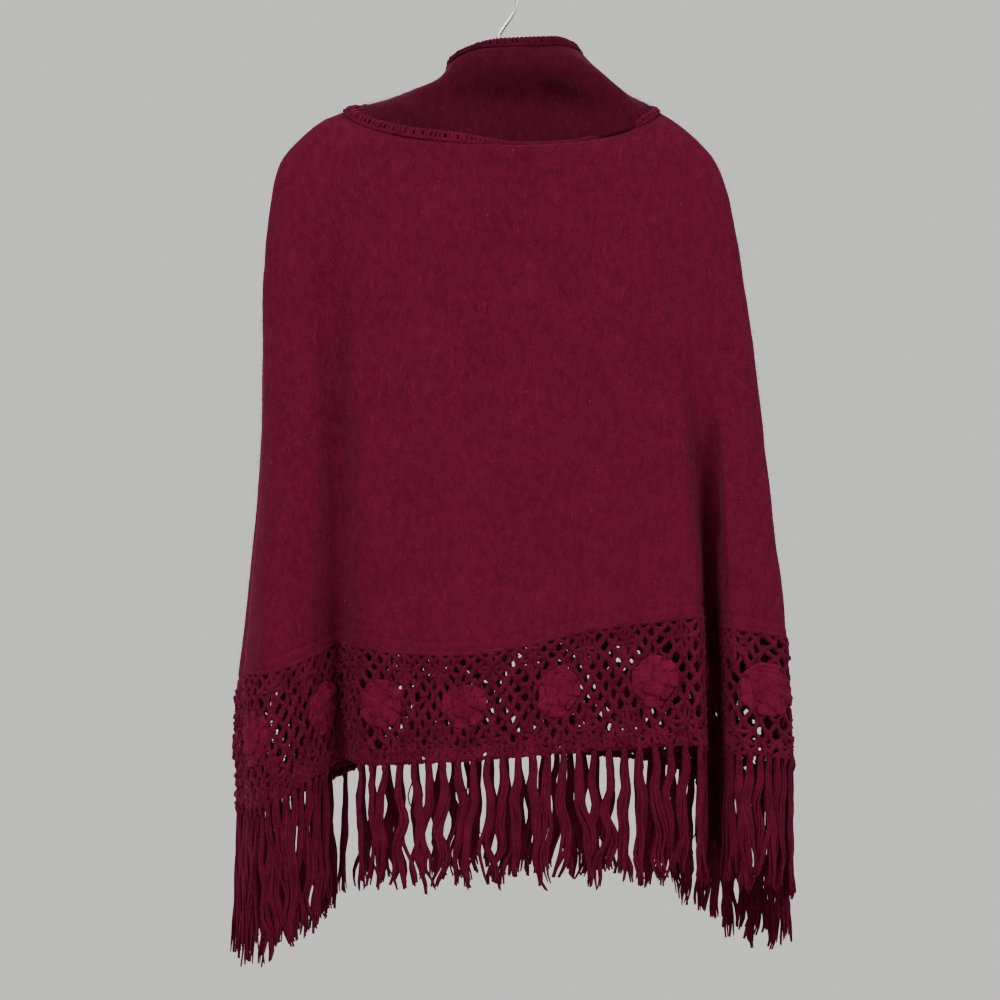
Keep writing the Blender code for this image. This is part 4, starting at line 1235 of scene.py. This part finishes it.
def net_tubes(start, generator):
    """The net's crocheted cords as tubes, a little slack and thicker at their knots."""
    cords = net_cords(generator)
    count = len(cords)
    share = np.linspace(0.0, 1.0, CORD_STEPS + 1)
    bow = np.sin(np.pi * share)
    flat = cords[:, :1] + (cords[:, 1:] - cords[:, :1]) * share[None, :, None]
    slack = CORD_SAG * generator.uniform(*CORD_SLACK, count)[:, None] * bow
    bend = CORD_BEND * generator.uniform(-1.0, 1.0, count)[:, None] * bow
    lift = CORD_LIFT_JITTER * generator.uniform(-1.0, 1.0, (count, 1)) + CORD_RISE * bow
    routes, normals = lace_surface(start, flat[..., 0] + bend, flat[..., 1] + slack, lift)
    length = np.linalg.norm(cords[:, 1] - cords[:, 0], axis=1)[:, None]
    swell = 1.0 + KNOT_SWELL * np.abs(2.0 * share - 1.0) ** 3
    stitches = 1.0 + STITCH_SWELL * np.sin(2.0 * np.pi * share * length / STITCH_LENGTH)
    radii = CORD_RADII[start] * swell * stitches * generator.uniform(*CORD_UNEVENNESS, (count, 1))
    turns = share * length / CORD_TWIST + generator.uniform(0.0, 1.0, (count, 1))
    return tubes(routes, radii, normals, CORD_SIDES, turns, CORD_OVAL, CORD_FLATNESS)


def edge_tubes(start, down, lift, radius, pitch, scallop):
    """A twisted cord along one side's lace at one depth, in scallops between the net's knots."""
    along = np.linspace(0.0, SIDE_LENGTH, EDGE_CORD_POINTS)
    waves = along / REPEAT_WIDTH * NET_COLUMNS_PER_REPEAT / 2.0
    depth = down + scallop * np.abs(np.sin(np.pi * waves))
    route, normals = lace_surface(start, along, depth, np.full(EDGE_CORD_POINTS, lift))
    return tubes(route[None], radius, normals[None], EDGE_CORD_SIDES, along / pitch / 2.0, EDGE_CORD_OVAL)


def bell(value, middle, width):
    """From 0 to 1, how near to a middle a value is."""
    return np.exp(-((value - middle) / width) ** 2)


def petal_pads(start, ring, generator):
    """One ring of petals on each of a side's rosettes, each petal a ribbed pad that lies over the next."""
    count = ring["count"] * REPEATS_A_SIDE
    middle = (np.arange(count) // ring["count"] + 0.5) * REPEAT_WIDTH
    angle = np.arange(count) % ring["count"] * 2.0 * np.pi / ring["count"] + math.radians(ring["turn"])
    angle = (angle + generator.uniform(-PETAL_TURN_JITTER, PETAL_TURN_JITTER, count))[:, None, None]
    size = generator.uniform(*PETAL_SIZES, count)[:, None, None]
    raised = generator.uniform(*PETAL_LIFTS, count)[:, None, None]

    out, aside = np.meshgrid(np.linspace(0.0, 1.0, PETAL_GRID), np.linspace(-1.0, 1.0, PETAL_GRID),
                             indexing="ij")
    tapered = np.clip((out - PETAL_TAPER_FROM) / (1.0 - PETAL_TAPER_FROM), 0.0, 1.0)
    half = ring["narrow"] + (ring["wide"] - ring["narrow"]) * out ** PETAL_WIDENING
    half = half * (1.0 - PETAL_TAPER * tapered ** 2)
    radius = ring["start"] + (ring["end"] - ring["start"]) * out * (1.0 - PETAL_END_ROUNDING * aside ** 4)
    dome = np.sin(np.pi * (PETAL_DOME_FROM + PETAL_DOME_LENGTH * out)) ** PETAL_DOME_ROUNDNESS
    dome = (1.0 - PETAL_EDGE_FALL * aside ** 4) ** 0.5 * dome * ring["dome"]
    rim = bell(out, *PETAL_END_RIM) + bell(np.abs(aside), *PETAL_SIDE_RIM) * out
    ribs = PETAL_RIB_HEIGHT * np.sin(2.0 * np.pi * radius / PETAL_RIB_PITCH)
    level = ring["height"] + PETAL_RIM_HEIGHT * rim + ribs + PETAL_TILT * aside * out

    reach = radius[None] * size
    width = (half * aside)[None] * size
    along = middle[:, None, None] + reach * np.sin(angle) + width * np.cos(angle)
    down = ROSETTE_DOWN - reach * np.cos(angle) + width * np.sin(angle)
    upper, _ = lace_surface(start, along, down, (level + dome)[None] + raised)
    lower, _ = lace_surface(start, along, down, level[None] / 2.0 + raised - PETAL_UNDERSIDE)
    return patches(upper, lower)


def dome_pads(start, places, kind):
    """Small ribbed domes at flat places on one side's lace."""
    sizes = dict(zip(DOME_COLUMNS, DOMES[kind]))
    places = np.array(places)
    around = np.linspace(0.0, 2.0 * np.pi, DOME_SPOKES)[None, :]
    out = np.linspace(1.0, DOME_INNERMOST, DOME_RINGS)[:, None]
    ribs = np.cos(DOME_RIBS * around)
    reach = sizes["radius"] * out * (1.0 + sizes["ribs"] * ribs * out)
    along = places[:, 0, None, None] + (reach * np.sin(around))[None]
    down = places[:, 1, None, None] - (reach * np.cos(around))[None]
    level = sizes["height"] * np.sqrt(np.clip(1.0 - out ** DOME_ROUNDNESS, 0.0, 1.0))
    level = level + DOME_RIB_HEIGHT * ribs * out - DOME_DIMPLE * bell(out, 0.0, DOME_DIMPLE_WIDTH)
    upper, _ = lace_surface(start, along, down, np.broadcast_to(level, along.shape))
    lower, _ = lace_surface(start, along, down, np.full(along.shape, -DOME_UNDERSIDE))
    return patches(upper, lower)


def add_lace(side, start, node):
    """One side's lace: the net with its edge cords and bobbles, and the rosettes."""
    generator = np.random.default_rng(NET_SEED + int(start))
    bobbles = [(middle + across * NET_PITCH, ROSETTE_DOWN + down * NET_ROW_HEIGHT)
               for middle in REPEAT_MIDDLES for across, down in BOBBLE_PLACES]
    net = [net_tubes(start, generator)]
    net += [edge_tubes(start, **dict(zip(EDGE_CORD_COLUMNS, row))) for row in EDGE_CORDS]
    net.append(dome_pads(start, bobbles, "bobble"))

    generator = np.random.default_rng(PETAL_SEED + int(start))
    rosettes = [petal_pads(start, dict(zip(PETAL_COLUMNS, row)), generator) for row in PETAL_RINGS]
    rosettes.append(dome_pads(start, [(middle, ROSETTE_DOWN) for middle in REPEAT_MIDDLES], "button"))
    return [add_joined(f"{side}_crochet", net, yarns["crochet"], node),
            add_joined(f"{side}_rosettes", rosettes, yarns["rosettes"], node)]


# ---------------------------------------------------------------- fringe
def clump_numbers(count, generator):
    """The number of the clump that each lock hangs in."""
    numbers = []
    clump = 0
    while len(numbers) < count:
        numbers += [clump] * int(generator.choice(CLUMP_SIZES))
        clump += 1
    return np.array(numbers[:count])


def lock_places(start):
    """Where one side's locks are knotted, in shares of its length."""
    numbers = (np.arange(LOCKS_A_SIDE) + 0.5) / LOCKS_A_SIDE
    reach = np.interp(numbers, LOCKS_REACHED, LOCKS_REACHED_AT)
    for left, right in BARE_STRETCHES[start]:
        reach = reach[(reach < left) | (reach > right)]
    return reach


def lock_lines(start, generator):
    """Middle lines of one side's locks, from their knots down, with the level direction beside each, the
    outward one, and the lengths."""
    reach = lock_places(start)
    count = len(reach)
    around = even_places(start, reach)
    roots, normals = draped(around, LACE_EDGE)
    along = level_beside(normals)
    lengths = fold_value("fringe", around) * (LONGEST_SHARE - STRAND_UNEVENNESS * generator.random(count))

    share = np.linspace(0.0, 1.0, YARN_STEPS)
    clumps = clump_numbers(count, generator)
    for _, right in BARE_STRETCHES[start]:
        clumps = clumps + count * (reach >= right)
    centres = np.array([reach[clumps == clump].mean() for clump in clumps])
    together = np.clip(share / CLUMP_GATHERED_AT, 0.0, 1.0)
    together = CLUMP_GATHER * together * together * (3.0 - 2.0 * together)
    swing = ((centres - reach) * SIDE_LENGTH)[:, None] * together
    common = generator.uniform(-1.0, 1.0, (count, 5))[np.unique(clumps, return_inverse=True)[1]]
    own = generator.uniform(-1.0, 1.0, (count, 5))
    leans = LEAN_SHARES[0] * LOCK_LEAN * common[:, :1] + LEAN_SHARES[1] * LOCK_LEAN * own[:, :1]
    waves = SWAY_WAVES + SWAY_WAVES_SPREAD * own[:, 1:2]
    phases = SWAY_PHASES[0] * common[:, 2:3] + SWAY_PHASES[1] * own[:, 3:4]
    sway = LOCK_SWAY * (SWAY_MEAN + SWAY_SPREAD * own[:, 4:5])
    fine_waves = np.sin(2.0 * np.pi * FINE_SWAY_WAVES * share + FINE_SWAY_PHASES * own[:, 1:2])
    free = np.clip(share / SWAY_FREE_AT, 0.0, 1.0)
    swing = swing + leans * share ** LEAN_CURVE
    swing = swing + sway * np.sin(2.0 * np.pi * waves * share + np.pi * phases) * free
    swing = swing + FINE_SWAY * fine_waves * free
    forward = (LOCK_FORWARD[0] * common[:, 4:5] + LOCK_FORWARD[1] * own[:, 2:3]) * share
    lines = roots[:, None] + (along * SWING_SPREAD)[:, None] * swing[..., None]
    lines = lines + normals[:, None] * forward[..., None]
    return share, lines, along[:, None], normals[:, None], lengths[:, None]


def lock_routes(start, generator):
    """Routes, radii, outward directions and turns of the yarns of one side's locks. The yarns of a lock
    wind round its middle line as it falls, and part and curl towards its tips."""
    share, lines, along, normals, lengths = lock_lines(start, generator)
    locks = len(lines)
    phase = generator.uniform(0.0, 2.0 * np.pi, (locks, 1))
    winding = phase + generator.uniform(-LOCK_WINDING, LOCK_WINDING, (locks, 1)) * share
    width = LOCK_HALF_WIDTH * generator.uniform(*LOCK_WIDTHS, (locks, 1))
    necked = np.clip(share / LOCK_NECK_LENGTH, 0.0, 1.0) ** LOCK_NECK_CURVE
    narrow = LOCK_NECK + (1.0 - LOCK_NECK) * necked
    swell = 1.0 - YARN_ROOT_THINNING + YARN_ROOT_THINNING * np.clip(share / YARN_ROOT_LENGTH, 0.0, 1.0)
    ending = np.clip((share - YARN_TIP_FROM) / (1.0 - YARN_TIP_FROM), 0.0, 1.0) ** YARN_TIP_CURVE
    taper = 1.0 - YARN_TIP_THINNING * ending
    parted_from = generator.uniform(*PARTED_FROM, (TIPS, locks, 1))
    tips = generator.uniform(-1.0, 1.0, (TIPS, 5, locks, 1))
    parts = []
    for number, tip in enumerate(TIP_OF_YARN):
        angle = 2.0 * np.pi * number / len(TIP_OF_YARN) + winding
        own = generator.uniform(-1.0, 1.0, (5, locks, 1))
        parted = (share - parted_from[tip]) / (1.0 - parted_from[tip])
        parted = np.clip(parted, 0.0, 1.0) ** PARTED_CURVE
        gathered = width * narrow * (1.0 - PARTED_NARROWING * parted)
        gathered = gathered * (YARN_NEARNESS + YARN_NEARNESS_SPREAD * own[2])
        turning = np.sin(parted * (TIP_CURL_TURN + TIP_CURL_SPREAD * tips[tip][1]))
        spread = TIP_SPREAD * (2.0 * tip / (TIPS - 1) - 1.0) + TIP_SPREAD_JITTER * tips[tip][0]
        spread = spread + YARN_JITTER * own[1]
        sideways = gathered * np.cos(angle) + spread * parted + turning * TIP_CURL * tips[tip][2]
        depth = gathered * np.sin(angle) * LOCK_ROUNDNESS + YARN_JITTER * own[0]
        depth = depth + TIP_FORWARD * tips[tip][3] * parted
        route = lines + along * sideways[..., None] + normals * depth[..., None]
        shortened = 1.0 - TIP_SHORTENING + TIP_SHORTENING * tips[tip][4] + YARN_LENGTH_JITTER * own[4]
        route[..., 2] -= lengths * share * shortened
        radii = YARN_RADIUS * (1.0 + YARN_RADIUS_JITTER * own[0]) * swell * taper
        turns = share * lengths / YARN_TWIST + own[3]
        parts.append((route, radii, normals, turns))
    return [np.concatenate(group) for group in zip(*parts)]


def stray_yarns(start, generator):
    """Single yarns that have come away from their locks and hook aside."""
    share, lines, along, normals, lengths = lock_lines(start, generator)
    chosen = generator.choice(len(lines), STRAYS_A_SIDE, replace=False)
    own = generator.uniform(-1.0, 1.0, (4, STRAYS_A_SIDE, 1))
    away = (share - STRAY_LEAVES_AT - STRAY_LEAVES_SPREAD * own[0]) / STRAY_LEAVING
    away = np.clip(away, 0.0, 1.0)
    side = np.sign(own[1]) * (STRAY_REACH + STRAY_REACH_SPREAD * own[2])
    wave = np.sin(STRAY_WAVES * share + STRAY_PHASES * own[3])
    sideways = side * away ** STRAY_CURVE + STRAY_WAVE * wave
    route = lines[chosen] + along[chosen] * SWING_SPREAD * sideways[..., None]
    route = route + normals[chosen] * (STRAY_FORWARD * own[3] * share + STRAY_LIFT)[..., None]
    falling = share * (STRAY_LENGTH + STRAY_LENGTH_SPREAD * own[0]) - STRAY_HOOK * away ** 2
    route[..., 2] -= lengths[chosen] * falling
    radii = STRAY_RADIUS * (1.0 - STRAY_TAPER * share)
    return tubes(route, radii, normals[chosen], STRAY_SIDES)


def root_knots(start, generator):
    """The knot that holds each lock to the lace's edge: a loop over the edge and a tight wrap."""
    roots, normals = draped(even_places(start, lock_places(start)), LACE_EDGE)
    share = np.linspace(0.0, 1.0, ROOT_KNOT_POINTS)
    bow = np.sin(np.pi * share)
    size = generator.uniform(*ROOT_KNOT_SIZES, len(roots))[:, None]
    lift = ROOT_KNOT_LIFT + ROOT_KNOT_RISE * bow
    routes = roots[:, None] + normals[:, None] * lift[None, :, None]
    routes[..., 2] += ROOT_KNOT_TOP - ROOT_KNOT_LENGTH * share
    wraps = ROOT_KNOT_WRAP_SWELL * np.sin(ROOT_KNOT_WRAPS * np.pi * share)
    radii = ROOT_KNOT_RADIUS * size * (ROOT_KNOT_ENDS + ROOT_KNOT_SWELL * bow + wraps)
    return tubes(routes, radii, normals[:, None], ROOT_KNOT_SIDES, share * ROOT_KNOT_TURNS, ROOT_KNOT_OVAL,
                 ROOT_KNOT_FLATNESS)


def add_fringe(name, start):
    """One side's fringe: locks of soft yarn that spread and part at their ends."""
    generator = np.random.default_rng(FRINGE_SEED + int(start))
    routes, radii, outwards, turns = lock_routes(start, generator)
    yarn_tubes = tubes(routes, radii, outwards, YARN_SIDES, turns, YARN_OVAL, YARN_FLATNESS)
    parts = (yarn_tubes, root_knots(start, generator), stray_yarns(start, generator))
    return add_joined(name, parts, yarns["fringe"], "fringe")


# ---------------------------------------------------------------- nap
def add_nap(number, material):
    """Short curved fibres that stand off the cloth, each a thin ribbon that ends in a point."""
    nap = dict(zip(NAP_COLUMNS, NAPS[number]))
    count = nap["count"]
    generator = np.random.default_rng(NAP_SEED + number)
    around = scattered_places(count, generator)
    sections = even_sections(SECTION_NUMBER[nap["top"]], SECTION_NUMBER[nap["foot"]], ARC_SAMPLES)
    place = np.interp(generator.random(count), np.linspace(0.0, 1.0, ARC_SAMPLES), sections)
    points, normals = draped(around, place)
    along = level_beside(normals)
    down = np.cross(normals, along)
    angle = generator.normal(0.0, NAP_TURNING, count)[:, None]
    lying = np.cos(angle) * down + np.sin(angle) * along
    rise = generator.uniform(*NAP_RISES, count)[:, None] ** NAP_RISE_BIAS
    length = generator.uniform(nap["shortest"], nap["longest"], count)[:, None]
    heading = unit(lying + normals * rise * NAP_STANDING)
    curl = generator.uniform(*NAP_CURLS, count)[:, None]
    bending = unit(lying * curl + along * NAP_BENDING + normals * rise * NAP_BENDING)
    root = points + normals * nap["lift"]
    knee = root + heading * length * 0.5
    tip = knee + bending * length * 0.5
    spin = generator.uniform(0.0, np.pi, count)[:, None]
    first = unit(np.cross(heading, normals + NAP_ASKEW))
    wide = (np.cos(spin) * first + np.sin(spin) * np.cross(heading, first)) * NAP_WIDTH / 2.0
    at_knee = wide * NAP_KNEE_WIDTH
    corners = np.stack((root - wide, root + wide, knee - at_knee, knee + at_knee, tip), axis=1)
    start = np.arange(count)[:, None] * corners.shape[1]
    faces = [start + np.array((0, 1, 3, 2)), start + np.array((2, 3, 4))]
    return add_piece(nap["name"], corners, faces, material)


def add_lint(material):
    """A few pale fibres caught in the nap."""
    generator = np.random.default_rng(LINT_SEED)
    around = scattered_places(LINT_FIBRES, generator)
    place = generator.uniform(SECTION_NUMBER["shoulder"], HEM - LINT_ABOVE_HEM, LINT_FIBRES)
    normals = garment_normals(around, place)
    along = level_beside(normals)
    down = np.cross(normals, along)
    angle = generator.uniform(0.0, 2.0 * np.pi, LINT_FIBRES)[:, None, None]
    share = np.linspace(0.0, 1.0, LINT_POINTS)[None, :, None]
    length = generator.uniform(*LINT_LENGTHS, LINT_FIBRES)[:, None, None]
    bow = generator.uniform(-LINT_BOW, LINT_BOW, LINT_FIBRES)[:, None, None] * length
    forward = np.cos(angle) * along[:, None] + np.sin(angle) * down[:, None]
    aside = -np.sin(angle) * along[:, None] + np.cos(angle) * down[:, None]
    routes = garment_points(around, place)[:, None] + normals[:, None] * LINT_LIFT
    routes = routes + forward * length * (share - 0.5) + aside * bow * share * (1.0 - share)
    parts = [tubes(routes, LINT_RADIUS, normals[:, None], LINT_SIDES)]
    return add_joined("lint_fibres", parts, material)


# ---------------------------------------------------------------- hanger
def arm_route(side):
    """One arm, from the stem out and round its end to the bar."""
    points = [(side * across, 0.0, up) for across, up in ARM_POINTS]
    for degrees in np.linspace(ARM_END_START, ARM_END_STOP, ARM_END_POINTS):
        angle = math.radians(degrees)
        points.append((side * (ARM_END_MIDDLE[0] + ARM_END_RADIUS * math.cos(angle)), 0.0,
                       ARM_END_MIDDLE[1] + ARM_END_RADIUS * math.sin(angle)))
    return points


def hanger_route():
    """The wire's points: hook, stem, left arm, bar, right arm, and its end wound round the stem."""
    radius = HOOK_INNER_RADIUS + WIRE_DIAMETER / 2.0
    angles = np.radians(np.linspace(HOOK_TIP_ANGLE, 0.0, HOOK_POINTS))
    hook = [(radius * math.cos(angle), 0.0, radius * math.sin(angle) - HOOK_INNER_RADIUS) for angle in angles]
    stem = [(across, 0.0, up) for across, up in STEM_POINTS]
    left, right = arm_route(-1.0), arm_route(1.0)
    left_end, right_end = np.array(left[-1]), np.array(right[-1])
    bar = [tuple(left_end + (right_end - left_end) * share) for share in BAR_SHARES]
    wound = WIRE_DIAMETER + SEAM_GAP
    twist = []
    for spot in range(round(TWIST_TURNS * TWIST_POINTS_PER_TURN) + 1):
        turned = spot / TWIST_POINTS_PER_TURN
        angle = 2.0 * math.pi * turned
        twist.append((wound * math.cos(angle), -wound * math.sin(angle), TWIST_FOOT + TWIST_PITCH * turned))
    return np.array(hook + stem + left + bar + right[::-1] + twist)


def add_hanger(material):
    """The wire, rounder than its CAD solid and on the same route."""
    route = hanger_route()
    numbers = np.arange(len(route), dtype=float)
    fine = np.linspace(0.0, len(route) - 1.0, WIRE_SAMPLES * len(route))
    smooth = np.stack([smooth_curve(numbers, route[:, axis], fine) for axis in range(3)], axis=1)
    curve = bpy.data.curves.new("wire_hanger", "CURVE")
    curve.dimensions = "3D"
    curve.bevel_depth = WIRE_DIAMETER / 2.0
    curve.bevel_resolution = WIRE_ROUNDNESS
    curve.use_fill_caps = True
    spline = curve.splines.new("POLY")
    spline.points.add(len(smooth) - 1)
    for point, spot in zip(spline.points, smooth):
        point.co = (*spot, 1.0)
    curve.materials.append(material)
    wire = add_object("wire_hanger", curve)
    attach(wire, "root")
    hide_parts("hanger_wire")
    return wire


# ---------------------------------------------------------------- studio
CAMERA_PLACE = (0.002, -4.000, -0.530)
CAMERA_SPAN = 1.0
SENSOR = 36.0
FLOOR_HEIGHT = -1.62
FLOOR_REACH = 4.0
FLOOR_ROUGHNESS = 0.9

# The surround's colours from straight below to straight above: a pale band round the horizon, dimmer below
# it and over it.
SURROUND_COLUMNS = ("position", "grey", "blue")
SURROUND = (
    (0.00, 0.22, 0.22),
    (0.30, 0.22, 0.22),
    (0.40, 0.77, 0.77 * 0.985),
    (0.60, 0.77, 0.77 * 0.985),
    (0.70, 0.38, 0.38),
    (1.00, 0.75, 0.75),
)

# The soft lights, each aimed at a height over the origin.
LIGHT_COLUMNS = ("name", "place", "aim", "size", "power")
LIGHTS = (
    ("key", (-1.5, -2.1, 1.62), -0.45, 1.5, 71.0),
    ("fill", (2.1, -2.0, 0.35), -0.50, 1.4, 37.0),
    ("back", (-0.9, 2.6, 1.30), -0.50, 1.5, 30.0),
)


def add_camera():
    """A level camera in front of the garment."""
    camera = bpy.data.cameras.new("camera")
    camera.sensor_width = SENSOR
    camera.lens = SENSOR * -CAMERA_PLACE[1] / CAMERA_SPAN
    holder = add_object("camera", camera)
    holder.location = CAMERA_PLACE
    holder.rotation_euler = (math.radians(90.0), 0.0, 0.0)
    bpy.context.scene.camera = holder


def add_light(name, place, aim, size, power):
    """A square soft light."""
    light = bpy.data.lights.new(name, "AREA")
    light.shape = "RECTANGLE"
    light.size = light.size_y = size
    light.energy = power
    lamp = add_object(name, light)
    lamp.location = place
    lamp.rotation_euler = (Vector((0.0, 0.0, aim)) - Vector(place)).to_track_quat("-Z", "Y").to_euler()


def add_floor():
    """A plain pale floor far below."""
    material = bpy.data.materials.new("pale floor")
    graph = Graph(material)
    graph.shade(Base_Color=graph.mix(graph.texture("floor grain"), *map(toned, FLOOR_COLOURS)),
                Roughness=FLOOR_ROUGHNESS)
    mesh = bpy.data.meshes.new("floor")
    corners = [(across * FLOOR_REACH, back * FLOOR_REACH, FLOOR_HEIGHT)
               for across, back in ((-1, -1), (1, -1), (1, 1), (-1, 1))]
    mesh.from_pydata(corners, [], [(0, 1, 2, 3)])
    mesh.materials.append(material)
    add_object("floor", mesh)


def add_surround():
    """A pale surround that is brighter behind the garment than in front of it."""
    world = bpy.data.worlds.new("surround")
    bpy.context.scene.world = world
    graph = Graph(world)
    split = graph.add("ShaderNodeSeparateXYZ", Vector=graph.places["Generated"])
    ramp = graph.add("ShaderNodeValToRGB", Fac=graph.spread(split.outputs["Z"], "surround height"))
    steps = ramp.color_ramp.elements
    for position, _, _ in SURROUND[1:-1]:
        steps.new(position)
    for step, row in zip(steps, SURROUND):
        tint = dict(zip(SURROUND_COLUMNS, row))
        step.color = (tint["grey"], tint["grey"], tint["blue"], 1.0)
    graph.feed(graph.nodes["Background"], Color=ramp.outputs["Color"],
               Strength=graph.spread(split.outputs["Y"], "surround behind"))


# ---------------------------------------------------------------- the piece
yarns = {use: yarn(**dict(zip(YARN_COLUMNS, row))) for use, row in YARNS.items()}
nap = loose_fibre("alpaca nap", FIBRE)
# The collar's nap is darker than the body's: painted shade.
painted_shade_nap = loose_fibre("collar nap painted shade", tuple(part * COLLAR_SHADE_TONE for part in FIBRE))
lint = loose_fibre("pale lint", LINT_COLOUR)

body = add_shell("body_cloth", body_shape(), brushed_cloth("brushed alpaca", 1.0, BODY_SHEEN), "poncho_body")
# The collar's cloth is darker than the body's: painted shade.
collar = add_shell("collar_cloth", collar_shape(), brushed_cloth("collar alpaca painted shade", COLLAR_SHADE_TONE, COLLAR_SHEEN),
                   "collar")
neck_band = ladder_trim("neck_ladder_trim", COLLAR_SEAM, NECK_SEAM, NECK_RUNG_SPACING, slump, BAND_SUNK,
                        yarns["crochet"], "neck_trim")
rim_band = ladder_trim("rim_ladder_trim", SECTION_NUMBER["rim"], SECTION_NUMBER["rim seam"], RIM_RUNG_SPACING,
                       rim_roll, 0.0, yarns["rim"], "collar_rim_trim")
hem_ring = ring_cord(HEM, HEM_CORD_LIFT, HEM_CORD_RADIUS, HEM_CORD_POINTS, HEM_CORD_PITCH, HEM_CORD_OVAL)
hem_cord = add_joined("hem_edging", [hem_ring], yarns["crochet"])
lace_front = add_lace("front", 0.0, "lace_front")
lace_back = add_lace("back", HALF_ROUND, "lace_back")
fringe_front = add_fringe("front_fringe", 0.0)
fringe_back = add_fringe("back_fringe", HALF_ROUND)
body_nap, collar_nap, lace_nap = [add_nap(number, material)
                                  for number, material in enumerate((nap, painted_shade_nap, nap))]
lint_fibres = add_lint(lint)
hanger = add_hanger(plated_wire())

add_floor()
add_surround()
for light_row in LIGHTS:
    add_light(**dict(zip(LIGHT_COLUMNS, light_row)))
add_camera()
